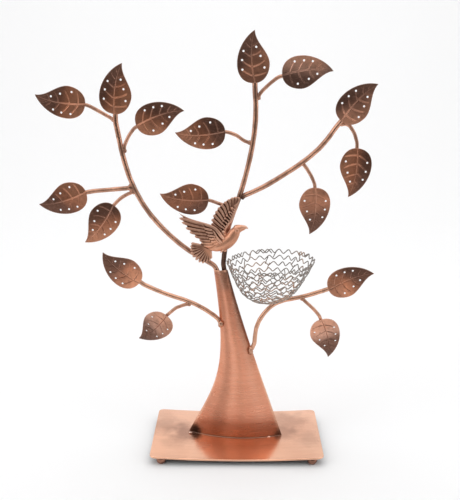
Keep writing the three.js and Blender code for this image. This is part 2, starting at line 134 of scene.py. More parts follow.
def paper_sweep():
    """A floor of white paper that curves up behind the object, so that no horizon shows."""
    bm = flat_sheet(floor_width, floor_depth)
    bmesh.ops.translate(bm, vec=(0, sweep_start - floor_depth / 2, 0), verts=bm.verts)
    back = [e for e in bm.edges if min(v.co.y for v in e.verts) > 0]
    curve = bmesh.ops.spin(bm, geom=back, cent=(0, sweep_start, sweep_radius), axis=(1, 0, 0),
                           angle=math.pi / 2, steps=24)
    top = [e for e in curve["geom_last"] if isinstance(e, bmesh.types.BMEdge)]
    wall = bmesh.ops.extrude_edge_only(bm, edges=top)
    bmesh.ops.translate(bm, vec=(0, 0, wall_height), verts=verts_of(wall["geom"]))
    return stage_object("paper_sweep", bm, plain_material("white_paper", (0.95, 0.95, 0.95), 0.8))


sweep = paper_sweep()
print("paper faces", len(sweep.data.polygons))

# %% [markdown]
# The flag stands behind the camera and a little lower. Only reflections see it.

# %% Flag
flag_size = (5.0, 0.46)
flag_distance = 0.95
flag_height = 0.30
flag = stage_object("flag", flat_sheet(*flag_size), plain_material("flag_cloth", (0.02, 0.017, 0.015), 0.9))
flag.location = (middle_x, -flag_distance, flag_height)
flag.rotation_euler = (math.pi / 2, 0, 0)
flag.visible_camera = False
flag.visible_shadow = False
flag.visible_transmission = False
print("flag", flag_size)

# %% [markdown]
# The tent is an even white world. Three soft boxes shape the metal, and a fourth lights the paper
# behind, so that it stays whiter than the table.

# %% World and lamps
def soft_box(name, location, target, size, power):
    lamp = placed(name, bpy.data.lights.new(name, "AREA"))
    lamp.data.shape = "RECTANGLE"
    lamp.data.size, lamp.data.size_y = size
    lamp.data.energy = power
    lamp.location = location
    aim = Vector(target) - Vector(location)
    lamp.rotation_euler = aim.to_track_quat("-Z", "Y").to_euler()


world = bpy.data.worlds.new("tent")
bpy.context.scene.world = world
world.use_nodes = True
world.node_tree.nodes["Background"].inputs["Color"].default_value = (0.93, 0.93, 0.935, 1)
world.node_tree.nodes["Background"].inputs["Strength"].default_value = 0.86
aim_point = (middle_x, 0, 0.2)
soft_box("lamp_top", (middle_x, -0.1, 1.5), aim_point, (1.6, 1.2), 5.5)
soft_box("lamp_left", (-1.2, -0.7, 0.7), aim_point, (0.7, 1.0), 3.5)
soft_box("lamp_right", (1.3, -0.5, 0.6), aim_point, (0.6, 1.0), 2.0)
soft_box("lamp_back", (0, 1.0, 2.2), (0, 2.4, 0.9), (2.4, 0.6), 9.0)
print("stage set")

# %% [markdown]
# ## Finishes
#
# Copper plate is one metal in many moods: bright where it was polished, brown where an antique
# wash stayed, and lined by the brush. Each effect is one node group with named sockets, so that
# every material can ask for its own amount. The groups give out only colours and numbers that
# change over the surface, and each material keeps its own shader.

# %% Helpers for nodes
def fill(tree, socket, value):
    """Gives an input a plain value, or a link from another node's output."""
    if isinstance(value, bpy.types.NodeSocket):
        tree.links.new(value, socket)
    else:
        socket.default_value = value


def feed(tree, node, inputs):
    for label, value in inputs.items():
        fill(tree, node.inputs[label], value)


def add_node(tree, kind, inputs, operation=None):
    node = tree.nodes.new("ShaderNode" + kind)
    if operation:
        node.operation = operation
    feed(tree, node, inputs)
    return node


def maths(tree, operation, *values):
    return add_node(tree, "Math", dict(enumerate(values)), operation).outputs[0]


def ramp(tree, value, low, high, start=0.0, end=1.0):
    """A soft step: the start below one limit, the end above the other."""
    node = add_node(tree, "MapRange", {"Value": value, "From Min": low, "From Max": high,
                                       "To Min": start, "To Max": end})
    node.interpolation_type = "SMOOTHSTEP"
    return node.outputs["Result"]


def effect_group(name, inputs, outputs):
    """An empty effect: its group, the inputs it is given and the node that takes its results."""
    group = bpy.data.node_groups.new(name, "ShaderNodeTree")
    group.interface.new_socket("Vector", in_out="INPUT", socket_type="NodeSocketVector")
    for label, value in inputs.items():
        kind = "Vector" if isinstance(value, tuple) else "Float"
        socket = group.interface.new_socket(label, in_out="INPUT", socket_type=f"NodeSocket{kind}")
        socket.default_value = value
    for label in outputs:
        group.interface.new_socket(label, in_out="OUTPUT", socket_type="NodeSocketFloat")
    return group, group.nodes.new("NodeGroupInput").outputs, group.nodes.new("NodeGroupOutput")

# %% [markdown]
# A brush leaves fine lines. They are noise, stretched far along one direction, and a slow shake
# keeps them from running dead straight. A wider copy of the same lines gives soft bands.

# %% Brush lines
def brush_lines_group():
    group, given, result = effect_group("brush_lines", {"Stretch": (40, 40, 2200), "Waver": 0.002},
                                        ["Lines", "Bands"])
    slow = add_node(group, "TexNoise", {"Vector": given["Vector"], "Scale": 60})
    shake = add_node(group, "VectorMath", {0: slow.outputs["Color"], "Scale": given["Waver"]}, "SCALE")
    bent = add_node(group, "VectorMath", {0: given["Vector"], 1: shake.outputs["Vector"]}, "ADD")
    drawn = add_node(group, "VectorMath", {0: bent.outputs["Vector"], 1: given["Stretch"]}, "MULTIPLY")
    wider = add_node(group, "VectorMath", {0: drawn.outputs["Vector"], "Scale": 0.16}, "SCALE")
    fine = add_node(group, "TexNoise", {"Vector": drawn.outputs["Vector"], "Scale": 1, "Detail": 3})
    coarse = add_node(group, "TexNoise", {"Vector": wider.outputs["Vector"], "Scale": 1, "Detail": 2})
    feed(group, result, {"Lines": fine.outputs["Fac"], "Bands": coarse.outputs["Fac"]})
    return group

# %% [markdown]
# The antique wash is a dark liquid that is wiped off again and stays in patches. `Cover` says how
# much of it stayed. `Mottle` is the fine unevenness of the plating itself.

# %% Antique wash in soft patches
def antique_wash_group():
    group, given, result = effect_group("antique_wash", {"Patch Scale": 30, "Cover": 0.5, "Softness": 0.2},
                                        ["Mask", "Mottle"])
    patches = add_node(group, "TexNoise", {"Vector": given["Vector"], "Scale": given["Patch Scale"],
                                           "Detail": 3, "Roughness": 0.5, "Distortion": 0.4})
    mottle = add_node(group, "TexNoise", {"Vector": given["Vector"], "Scale": 420, "Detail": 4})
    bare = maths(group, "SUBTRACT", 1.0, given["Cover"])
    under = maths(group, "SUBTRACT", bare, given["Softness"])
    over = maths(group, "ADD", bare, given["Softness"])
    mask = ramp(group, patches.outputs["Fac"], under, over)
    feed(group, result, {"Mask": mask, "Mottle": mottle.outputs["Fac"]})
    return group

# %% [markdown]
# Welding burns the plating dark round the joint, with a ragged edge. The same ragged mark also places
# painted shade on the plate. The mark is the distance from a centre, disturbed by noise.

# %% Ragged mark: a weld burn, or a patch of painted shade
def weld_burn_and_shade_mark_group():
    group, given, result = effect_group("weld_burn_and_shade_mark", {"Centre": (0, 0, 0), "Size": 0.02}, ["Mask"])
    reach = add_node(group, "VectorMath", {0: given["Vector"], 1: given["Centre"]}, "DISTANCE")
    share = maths(group, "DIVIDE", reach.outputs["Value"], given["Size"])
    noise = add_node(group, "TexNoise", {"Vector": given["Vector"], "Scale": 70})
    ragged = maths(group, "MULTIPLY_ADD", noise.outputs["Fac"], 0.9, -0.45)
    feed(group, result, {"Mask": ramp(group, maths(group, "ADD", share, ragged), 0.0, 1.0, 1.0, 0.0)})
    return group


brush_lines = brush_lines_group()
antique_wash = antique_wash_group()
weld_burn_and_shade_mark = weld_burn_and_shade_mark_group()
print("effects", brush_lines.name, antique_wash.name, weld_burn_and_shade_mark.name)

# %% [markdown]
# ## One maker for every copper finish
#
# The finishes differ in colours, patch size, brush direction and shine, so one class builds
# them all from named values. A mask tints the colour, roughens it or raises it. Extra masks come
# from attributes on a mesh, such as the grooves of a leaf or of the bird's feathers.

# %% Copper finish
BROWN = (0.12, 0.062, 0.042)
# Near-black for weld burns, and also for painted shade under the plate and below the bird.
BURNT_AND_SHADE = (0.035, 0.02, 0.016)


class Finish:
    """A metal material under construction: a colour chain, a roughness chain and a height chain."""

    def __init__(self, name, colour, roughness):
        self.material = bpy.data.materials.new(name)
        self.material.use_nodes = True
        self.tree = self.material.node_tree
        self.shader = self.tree.nodes["Principled BSDF"]
        self.place = add_node(self.tree, "TexCoord", {}).outputs["Object"]
        self.colour = (*colour, 1)
        self.roughness = roughness
        self.height = None
        feed(self.tree, self.shader, {"Metallic": 1.0, "Base Color": self.colour, "Roughness": roughness})

    def group(self, effect, **values):
        """Adds an effect with its own values, and gives its outputs."""
        node = add_node(self.tree, "Group", {})
        node.node_tree = effect
        feed(self.tree, node, {"Vector": self.place})
        feed(self.tree, node, {label.replace("_", " "): value for label, value in values.items()})
        return node.outputs

    def attribute(self, name):
        node = add_node(self.tree, "Attribute", {})
        node.attribute_name = name
        return node.outputs["Fac"]

    def shaped(self, mask, low, high, start=0.0, end=1.0):
        return ramp(self.tree, mask, low, high, start, end)

    def times(self, one, other):
        return maths(self.tree, "MULTIPLY", one, other)

    def sum(self, one, other):
        return maths(self.tree, "ADD", one, other)

    def band(self, value, centre, width, most):
        """A soft band where the value is near the centre."""
        rise = self.shaped(value, centre - width, centre, 0.0, most)
        fall = self.shaped(value, centre, centre + width, 1.0, 0.0)
        return self.times(rise, fall)

    def tint(self, mask, colour):
        """Lays a colour over the ones before it, as far as the mask says."""
        node = add_node(self.tree, "Mix", {})
        node.data_type = "RGBA"
        below, above = [socket for socket in node.inputs if socket.type == "RGBA"]
        fill(self.tree, below, self.colour)
        fill(self.tree, above, (*colour, 1))
        fill(self.tree, node.inputs["Factor"], mask)
        self.colour = next(socket for socket in node.outputs if socket.type == "RGBA")

    def roughen(self, mask, amount):
        self.roughness = maths(self.tree, "MULTIPLY_ADD", mask, amount, self.roughness)
        self.roughness.node.use_clamp = True

    def raise_by(self, mask, amount):
        self.height = maths(self.tree, "MULTIPLY_ADD", mask, amount, self.height or 0.0)

    def done(self):
        feed(self.tree, self.shader, {"Base Color": self.colour, "Roughness": self.roughness})
        if self.height:
            bump = add_node(self.tree, "Bump", {"Distance": MM, "Strength": 1.0, "Height": self.height})
            feed(self.tree, self.shader, {"Normal": bump.outputs["Normal"]})
        print("finish", self.material.name)
        return self.material


print("colours", BROWN, BURNT_AND_SHADE)

# %% [markdown]
# ## Shared mesh helpers
#
# A bmesh holds a mesh while it is shaped. Most pieces here end the same way: the bmesh becomes a
# mesh, gets its material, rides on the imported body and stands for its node.

# %% Piece helpers
def to_mesh(bm, name, smooth=True):
    mesh = bpy.data.meshes.new(name)
    bmesh.ops.recalc_face_normals(bm, faces=bm.faces)
    bm.to_mesh(mesh)
    bm.free()
    for polygon in mesh.polygons:
        polygon.use_smooth = smooth
    return mesh


def piece(name, mesh, material, slot, *nodes):
    made = placed(name, mesh)
    mesh.materials.clear()
    mesh.materials.append(material)
    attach(made, "root")
    if nodes:
        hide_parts(*nodes)
    return made


def baked(made):
    """The mesh with its modifiers applied."""
    bpy.context.view_layer.update()
    graph = bpy.context.evaluated_depsgraph_get()
    return bpy.data.meshes.new_from_object(made.evaluated_get(graph), depsgraph=graph)


def triangles(mesh):
    return sum(len(polygon.vertices) - 2 for polygon in mesh.polygons)

# %% [markdown]
# Some pieces carry numbers on their vertices, which their material reads as masks. Others need the
# places of all vertices at once, or a point on a curve.

# %% Numbers, places and curves
def number_on(mesh, name, values):
    layer = mesh.attributes.new(name, "FLOAT", "POINT")
    layer.data.foreach_set("value", np.asarray(values, dtype=np.float32))


def places_of(mesh):
    places = np.empty(len(mesh.vertices) * 3, dtype=np.float32)
    mesh.vertices.foreach_get("co", places)
    return places.reshape(-1, 3).astype(float)


def gap_to(places, a, b):
    """How far each place lies from the straight line between two points."""
    along = b - a
    share = np.clip(((places - a) @ along) / (along @ along), 0, 1)
    return np.linalg.norm(places - a - share[:, None] * along, axis=1)


def bezier(points, t):
    points = [np.array(p, float) for p in points]
    while len(points) > 1:
        points = [a * (1 - t) + b * t for a, b in zip(points[:-1], points[1:])]
    return points[0]


def through(points, share):
    """A point on a smooth curve through given points."""
    spans = len(points) - 1
    at = min(max(share, 0.0), 1.0) * spans
    i = min(int(at), spans - 1)
    t = at - i
    a, b, c, d = (np.array(points[min(max(k, 0), spans)], float) for k in (i - 1, i, i + 1, i + 2))
    point = 2 * b + (c - a) * t
    point = point + (2 * a - 5 * b + 4 * c - d) * t * t + (3 * b - a - 3 * c + d) * t ** 3
    return 0.5 * point


print("middle of a test curve", through([(0, 0), (1, 1), (2, 0)], 0.5))

# %% [markdown]
# ## Base plate
#
# The base is one steel sheet. Its corners are rounded, its edges are softly broken, and the short
# sides bend up a little. It starts as a single face, so that one vertex bevel rounds the corners.
# Cuts across it give the bend something to bend, and an edge bevel breaks the sharp rim.

# %% Sheet metal helpers
sharp_angle = 1.0


def round_corners(bm, corners, radius, segments):
    bmesh.ops.bevel(bm, geom=corners, offset=radius, offset_type="OFFSET", segments=segments, profile=0.5,
                    affect="VERTICES", material=-1)


def slices(bm, normal, length, count):
    """Cuts a sheet across into equal strips."""
    for i in range(1, count):
        bmesh.ops.bisect_plane(bm, geom=bm.verts[:] + bm.edges[:] + bm.faces[:],
                               plane_co=Vector(normal) * (length * (i / count - 0.5)), plane_no=normal)


def thickened(bm):
    """Gives a sheet its second face, and the vertices of that face."""
    grown = bmesh.ops.extrude_face_region(bm, geom=bm.faces[:])
    return verts_of(grown["geom"])


def soft_rim(bm, width, segments):
    bmesh.ops.recalc_face_normals(bm, faces=bm.faces)
    rim = [e for e in bm.edges if e.is_manifold and e.calc_face_angle(0) > sharp_angle]
    bmesh.ops.bevel(bm, geom=rim, offset=width, offset_type="OFFSET", segments=segments, profile=0.5,
                    affect="EDGES", material=-1)

# %% Plate form
plate_thickness = 2 * MM
plate_corner = 6 * MM
plate_edge = 0.75 * MM
plate_cuts = 40


def plate_form():
    length = plate_high.x - plate_low.x
    bow = plate_high.z - plate_low.z - plate_thickness
    bm = flat_sheet(length, plate_high.y - plate_low.y)
    round_corners(bm, bm.verts[:], plate_corner, 10)
    slices(bm, (1, 0, 0), length, plate_cuts)
    bmesh.ops.translate(bm, vec=(0, 0, plate_thickness), verts=thickened(bm))
    soft_rim(bm, plate_edge, 4)
    for v in bm.verts:
        v.co.z += plate_low.z + bow * (2 * v.co.x / length) ** 2
        v.co.x += middle_x
    mesh = to_mesh(bm, "base_plate_sheet")
    # Marks the underside, which the finish paints near-black: painted shade under the plate.
    number_on(mesh, "under", [1.0 if v.normal.z < -0.5 else 0.0 for v in mesh.vertices])
    return mesh

# %% [markdown]
# The top is polished and brushed lengthwise. Round the trunk, brown patches of painted shade stand
# for the dark shading of a plate that welding warped; each is given: where, how large and how strong.
# The underside is painted near-black as shade under the plate, which also darkens its shadow.

# %% Plate finish
trunk_low, trunk_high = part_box("trunk")
# Painted shade: each patch is a centre, a size and a strength, round the trunk foot where the plate is
# warped.
painted_warp_shades = [
    ((trunk_low.x - 3 * MM, 2 * MM, 8 * MM), 30 * MM, 0.7),
    ((trunk_low.x - 26 * MM, 15 * MM, 8 * MM), 32 * MM, 0.36),
    ((trunk_low.x - 12 * MM, -16 * MM, 8 * MM), 26 * MM, 0.25),
    ((trunk_high.x + 4 * MM, 4 * MM, 8 * MM), 24 * MM, 0.5),
    ((trunk_high.x + 10 * MM, 28 * MM, 8 * MM), 34 * MM, 0.45),
    ((trunk_high.x + 27 * MM, -14 * MM, 8 * MM), 24 * MM, 0.3),
    ((trunk_low.x + 18 * MM, -24 * MM, 8 * MM), 14 * MM, 0.2),
]


def plate_finish():
    f = Finish("polished_copper_plate", (0.96, 0.55, 0.375), 0.15)
    lines = f.group(brush_lines, Stretch=(28, 2600, 2600), Waver=0.0015)
    wash = f.group(antique_wash, Patch_Scale=17, Cover=0.5, Softness=0.2)
    glow = f.group(antique_wash, Patch_Scale=13, Cover=0.45, Softness=0.2)
    f.tint(f.shaped(glow["Mask"], 0.0, 1.0, 0.0, 0.5), (0.95, 0.62, 0.45))
    f.tint(f.shaped(wash["Mask"], 0.0, 1.0, 0.0, 0.3), (0.55, 0.28, 0.19))
    f.tint(f.shaped(lines["Bands"], 0.35, 0.7, 0.0, 0.14), (0.60, 0.29, 0.19))
    # Painted shade round the trunk foot, where the plate is warped.
    for centre, size, strength in painted_warp_shades:
        mark = f.group(weld_burn_and_shade_mark, Centre=centre, Size=size)
        f.tint(f.shaped(mark["Mask"], 0.0, 1.0, 0.0, strength), (0.30, 0.155, 0.115))
        f.roughen(mark["Mask"], 0.08)
    f.roughen(f.shaped(wash["Mask"], 0.0, 1.0), 0.07)
    f.roughen(f.shaped(lines["Lines"], 0.3, 0.7), 0.05)
    # Painted shade: the underside is tinted near-black, which also darkens the shadow on the floor below.
    f.tint(f.attribute("under"), BURNT_AND_SHADE)
    f.roughen(f.attribute("under"), 0.4)
    f.raise_by(lines["Lines"], 0.006)
    return f.done()


base_plate = piece("base_plate_sheet", plate_form(), plate_finish(), "plate", "base_plate")
print("plate faces", len(base_plate.data.polygons))

# %% [markdown]
# ## Ball feet
#
# Each foot is a turned ball with a small worn flat. A sphere with its poles up is squeezed between
# the floor and the sheet by moving every vertex that would pass them.

# %% Feet
foot_swell = 1.02
foot_middle = 0.88
foot_sink = 0.25 * MM


def foot_form(node):
    low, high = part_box(node)
    radius = (high.x - low.x) / 2 * foot_swell
    bm = bmesh.new()
    bmesh.ops.create_uvsphere(bm, u_segments=32, v_segments=24, radius=radius)
    middle = Vector(((low.x + high.x) / 2, (low.y + high.y) / 2, low.z + radius * foot_middle))
    for v in bm.verts:
        v.co += middle
        v.co.z = min(max(v.co.z, low.z), high.z + foot_sink)
    bmesh.ops.remove_doubles(bm, verts=bm.verts, dist=0.01 * MM)
    return to_mesh(bm, node + "_ball")


def shaded_foot_finish():
    # Painted shade: the ball's copper is darker, as the feet stand in shade under the plate.
    f = Finish("shade_darkened_copper_ball", (0.40, 0.195, 0.135), 0.24)
    wash = f.group(antique_wash, Patch_Scale=120, Cover=0.5, Softness=0.2)
    f.tint(f.shaped(wash["Mask"], 0, 1, 0, 0.6), BROWN)
    f.roughen(wash["Mottle"], 0.12)
    return f.done()


shaded_ball_copper = shaded_foot_finish()
for foot in ("foot_front_left", "foot_front_right", "foot_back_left", "foot_back_right"):
    piece(foot + "_ball", foot_form(foot), shaded_ball_copper, "foot", foot)
print("four feet")

# %% [markdown]
# ## Trunk
#
# The trunk is one sheet, cut along two curves and rolled to a shallow arc that opens at the back.
# It starts flat, as one face with rounded upper corners. Cuts across and along it make the grid
# that can be rolled: every vertex goes to its place on the arc between the two side curves.

# %% Trunk sides
trunk_height = (trunk_high.z - trunk_low.z) / MM
trunk_sheet = 1.3
trunk_foot_width = 99.0
trunk_head_width = 13.9
trunk_head_shift = 16.6
trunk_foot_shift = 1.6
trunk_foot_bulge = 9.0
trunk_head_bulge = 6.0
trunk_turn = -0.08
trunk_edge_depth = 1.0
trunk_lift = 0.1
left_side = [(-trunk_foot_shift - trunk_foot_width / 2, 0), (-20.5, 0.34), (-8.2, 0.38),
             (-trunk_head_shift - trunk_head_width / 2, 1)]
right_side = [(-trunk_foot_shift + trunk_foot_width / 2, 0), (27.5, 0.33), (5.2, 0.67),
              (-trunk_head_shift + trunk_head_width / 2, 1)]
side_table = {
    name: np.array([bezier(side, t) for t in np.linspace(0, 1, 400)])
    for name, side in (("left", left_side), ("right", right_side))
}


def side_at(name, share):
    return float(np.interp(share, side_table[name][:, 1], side_table[name][:, 0]))


def plate_top(x):
    """Height of the bowed plate, in millimetres, at a distance from its middle."""
    half = (plate_high.x - plate_low.x) / 2 / MM
    bow = (plate_high.z - plate_low.z) / MM - plate_thickness / MM
    return plate_low.z / MM + plate_thickness / MM + bow * (x / half) ** 2


def on_trunk(across, inset, share):
    """A point of the rolled sheet: across runs from -1 to 1, share from foot to head."""
    left, right = side_at("left", share), side_at("right", share)
    half = (right - left) / 2
    bulge = trunk_foot_bulge + (trunk_head_bulge - trunk_foot_bulge) * share
    radius = (half * half + bulge * bulge) / (2 * bulge)
    spread = math.asin(min(1.0, half / radius))
    turn = trunk_turn * (1 - share)
    x = (radius - inset) * math.sin(spread * across)
    y = radius - bulge - (radius - inset) * math.cos(spread * across)
    px = (left + right) / 2 + x * math.cos(turn) - y * math.sin(turn)
    py = trunk_edge_depth + x * math.sin(turn) + y * math.cos(turn)
    bottom = plate_top(px) + trunk_lift
    return Vector((middle_x / MM + px, py, bottom + (trunk_high.z / MM - bottom) * share)) * MM

# %% Trunk form
trunk_columns = 36
trunk_rows = 90
trunk_corner = 2.4
trunk_edge = 0.3 * MM


def trunk_form():
    bm = flat_sheet(trunk_head_width, trunk_height)
    round_corners(bm, [v for v in bm.verts if v.co.y > 0], trunk_corner, 6)
    slices(bm, (1, 0, 0), trunk_head_width, trunk_columns)
    slices(bm, (0, 1, 0), trunk_height, trunk_rows)
    inner = set(thickened(bm))
    across = bm.verts.layers.float.new("across")
    for v in bm.verts:
        side, share = 2 * v.co.x / trunk_head_width, v.co.y / trunk_height + 0.5
        v[across] = side / 2 + 0.5
        v.co = on_trunk(side, trunk_sheet if v in inner else 0.0, share)
    soft_rim(bm, trunk_edge, 2)
    return to_mesh(bm, "trunk_sheet")

# %% [markdown]
# Bands of painted highlight and painted shade run from foot to head, to show the rolled form. The number
# `across` says where a vertex lies between the two edges, so the bands follow the roll. The right side
# of the upper trunk gets painted shade as well. The foot is burnt by welding.

# %% Trunk finish
def trunk_finish():
    f = Finish("brushed_copper_trunk", (0.90, 0.50, 0.345), 0.26)
    lines = f.group(brush_lines, Stretch=(50, 50, 2300), Waver=0.003)
    wash = f.group(antique_wash, Patch_Scale=22, Cover=0.5, Softness=0.24)
    drift = f.group(antique_wash, Patch_Scale=9, Cover=0.5, Softness=0.3)
    across = f.sum(f.attribute("across"), f.shaped(drift["Mask"], 0, 1, -0.04, 0.04))
    height = add_node(f.tree, "SeparateXYZ", {0: f.place}).outputs["Z"]
    upper = f.shaped(height, 60 * MM, 170 * MM)
    f.tint(f.shaped(wash["Mask"], 0, 1, 0, 0.2), (0.46, 0.2, 0.12))
    f.tint(f.shaped(height, 105 * MM, 165 * MM, 0, 0.4), (0.54, 0.235, 0.135))
    # Painted highlights and painted shade: soft bands across the roll, where the sheet catches and loses the
    # light.
    f.tint(f.band(across, 0.27, 0.15, 0.34), (0.44, 0.21, 0.14))
    f.tint(f.band(across, 0.43, 0.10, 0.5), (0.95, 0.58, 0.42))
    f.tint(f.band(across, 0.56, 0.08, 0.2), (0.55, 0.29, 0.2))
    f.tint(f.band(across, 0.78, 0.14, 0.4), (0.94, 0.59, 0.44))
    # Painted shade on the right side of the upper trunk, which turns away from the light.
    f.tint(f.times(f.shaped(across, 0.62, 0.98), upper), (0.20, 0.09, 0.055))
    f.tint(f.shaped(lines["Bands"], 0.35, 0.7, 0, 0.08), (0.50, 0.24, 0.16))
    f.tint(f.shaped(lines["Lines"], 0.5, 0.8, 0, 0.08), (0.92, 0.6, 0.45))
    foot_left = f.group(weld_burn_and_shade_mark, Centre=(trunk_low.x + 5 * MM, 1 * MM, 11 * MM), Size=14 * MM)
    foot_right = f.group(weld_burn_and_shade_mark, Centre=(trunk_high.x - 2 * MM, -3 * MM, 9 * MM), Size=10 * MM)
    f.tint(f.shaped(height, 27 * MM, 22 * MM, 0, 0.2), (0.46, 0.17, 0.085))
    f.tint(f.shaped(height, 9.5 * MM, 6.5 * MM, 0, 0.85), BURNT_AND_SHADE)
    f.tint(f.shaped(foot_left["Mask"], 0, 1, 0, 0.9), BURNT_AND_SHADE)
    f.tint(f.shaped(foot_right["Mask"], 0, 1, 0, 0.6), BURNT_AND_SHADE)
    f.roughen(f.shaped(lines["Lines"], 0.3, 0.7), 0.1)
    f.raise_by(lines["Lines"], 0.004)
    return f.done()


trunk = piece("trunk_sheet", trunk_form(), trunk_finish(), "trunk", "trunk")
print("trunk panels", len(trunk.data.polygons))

# %% [markdown]
# A weld bead is a drop of metal that froze. It starts as a sphere, and a few soft waves pull it out
# of round. The same bead sits at the trunk's foot and later at the ends of the rods.

# %% Weld beads at the foot
bead_waves = 4
bead_swell = 0.05


def blob(bm, centre, size, seed):
    dice = random.Random(seed)
    waves = [(Vector([dice.uniform(-1, 1) for _ in range(3)]).normalized(), dice.uniform(2, 4),
              dice.uniform(0, 6)) for _ in range(bead_waves)]
    made = bmesh.ops.create_uvsphere(bm, u_segments=20, v_segments=14, radius=1.0)
    for v in made["verts"]:
        swell = 1 + sum(bead_swell * math.sin(rate * axis.dot(v.co) * 2 + phase)
                        for axis, rate, phase in waves)
        v.co = Vector((v.co.x * size[0], v.co.y * size[1], v.co.z * size[2])) * swell + Vector(centre)


def weld_finish():
    f = Finish("bright_weld", (0.92, 0.66, 0.54), 0.2)
    wash = f.group(antique_wash, Patch_Scale=300, Cover=0.4, Softness=0.2)
    f.tint(f.shaped(wash["Mask"], 0, 1, 0, 0.7), (0.4, 0.22, 0.16))
    f.roughen(wash["Mottle"], 0.15)
    return f.done()


bright_weld = weld_finish()
foot_welds = {
    "left": ((-48.9, -0.2, 9.0), (2.0, 1.4, 0.9)),
    "right": ((34.0, -6.3, 7.9), (1.6, 1.1, 0.8)),
}
for side, (place, size) in foot_welds.items():
    bm = bmesh.new()
    blob(bm, Vector(place) * MM + Vector((middle_x, 0, 0)), [v * MM for v in size], seed=len(side))
    piece(f"foot_weld_{side}", to_mesh(bm, f"foot_weld_{side}"), bright_weld, "trunk")
print("foot welds", len(foot_welds))

# %% [markdown]
# ## Rods
#
# Branches and twigs are round rod, bent cold and welded by the ends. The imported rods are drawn
# with flat sides. Planes marched along each one cut it into rings, and the middle of each ring is
# a point of the rod's centre line. A curve through these points, with a round bevel, is the same
# rod with a round section. A little noise in the radius keeps it from looking like a drawing.

# %% Centre line of a rod
ring_reach = 2.2
end_reach = 2.3
heading_reach = 6.5
most_rings = 400


def node_copy(node):
    bm = bmesh.new()
    bm.from_mesh(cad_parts[node].data)
    bmesh.ops.remove_doubles(bm, verts=bm.verts, dist=0.002 * MM)
    return bm


def middle_of(spots):
    return sum(spots, Vector()) / len(spots)


def ring_middle(bm, point, direction, radius):
    """The middle of the rod where a plane cuts it, or None past its end."""
    cut = bm.copy()
    found = bmesh.ops.bisect_plane(cut, geom=cut.verts[:] + cut.edges[:] + cut.faces[:],
                                   plane_co=point, plane_no=direction)
    spots = [v.co.copy() for v in verts_of(found["geom_cut"])]
    cut.free()
    spots = [p for p in spots if (p - point).length < ring_reach * radius]
    return middle_of(spots) if len(spots) >= 3 else None


def centre_line(node, radius, step):
    """Points along the middle of a packed rod, found by marching planes down it."""
    bm = node_copy(node)
    spots = [v.co.copy() for v in bm.verts]
    start = max(spots, key=lambda p: (p - spots[0]).length)
    stop = max(spots, key=lambda p: (p - start).length)
    here = middle_of([p for p in spots if (p - start).length < end_reach * radius])
    near = [p for p in spots if end_reach * radius < (p - here).length < heading_reach * radius]
    heading = (middle_of(near) - here).normalized()
    line = [here]
    for _ in range(most_rings):
        middle = ring_middle(bm, line[-1] + heading * step, heading, radius)
        if middle is None:
            break
        heading = (middle - line[-1]).normalized()
        line.append(middle)
    bm.free()
    if (line[-1] - stop).length > 3 * radius:
        print("short line", node, len(line))
    return [list(p) for p in line]

# %% [markdown]
# Marching needs a first direction, and a straight look at each rod's own vertices gives it. The
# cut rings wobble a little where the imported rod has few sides, so the line is smoothed before it
# is used.

# %% Rod form
def smoothed(line):
    line = np.array(line)
    for _ in range(2):
        middle = (line[:-2] + 2 * line[1:-1] + line[2:]) / 4
        line = np.vstack([line[:1], middle, line[-1:]])
    return line


def curve_mesh(name, line, radii, closed=False, sides=6):
    """A round rod along a line, with its own radius at each point."""
    data = bpy.data.curves.new(name, "CURVE")
    data.dimensions = "3D"
    data.bevel_depth = 1.0
    data.bevel_resolution = sides
    data.use_fill_caps = True
    spline = data.splines.new("POLY")
    spline.points.add(len(line) - 1)
    for point, place, radius in zip(spline.points, line, radii):
        point.co = (*place, 1)
        point.radius = radius
    spline.use_cyclic_u = closed
    made = placed(name, data)
    mesh = baked(made)
    bpy.data.objects.remove(made)
    bpy.data.curves.remove(data)
    return mesh


def lengthened(line, extra):
    line = np.array(line)
    start = line[0] + (line[0] - line[1]) / np.linalg.norm(line[0] - line[1]) * extra
    stop = line[-1] + (line[-1] - line[-2]) / np.linalg.norm(line[-1] - line[-2]) * extra
    return np.vstack([start, line, stop])

# %% [markdown]
# Drawn rod is smoother than the brushed sheets. Wash stays on it in patches, and each weld leaves a
# short burnt stretch. The centre branch below the bird also gets painted shadow, as the bird shades
# it. A number on the vertices marks both.

# %% Rod finishes
def rod_finish(name, colour, shine, wash_share):
    f = Finish(name, colour, shine)
    wash = f.group(antique_wash, Patch_Scale=70, Cover=wash_share, Softness=0.22)
    grain = f.group(brush_lines, Stretch=(900, 900, 900), Waver=0.004)
    f.tint(f.shaped(wash["Mask"], 0, 1, 0, 0.6), BROWN)
    f.tint(f.shaped(wash["Mottle"], 0.5, 0.8, 0, 0.3), (0.9, 0.58, 0.43))
    f.roughen(wash["Mask"], 0.12)
    f.roughen(grain["Lines"], 0.08)
    # Dark weld burns, and painted shadow on the centre branch below the bird.
    f.tint(f.shaped(f.attribute("burn_and_shade"), 0.0, 1.0, 0, 0.9), BURNT_AND_SHADE)
    f.raise_by(grain["Bands"], 0.03)
    f.raise_by(wash["Mottle"], 0.02)
    return f.done()


branch_copper = rod_finish("drawn_copper_branch", (0.70, 0.375, 0.255), 0.2, 0.5)
twig_copper = rod_finish("drawn_copper_twig", (0.64, 0.34, 0.23), 0.22, 0.48)
low_rod_copper = rod_finish("drawn_copper_low_rod", (0.72, 0.39, 0.26), 0.22, 0.42)

# %% [markdown]
# Branches are 5 mm rod, or 4.5 mm low on the trunk, and twigs are 3.5 mm. A rod is welded where it
# meets the trunk, its branch and its leaf, so the beads are part of the rod's piece.

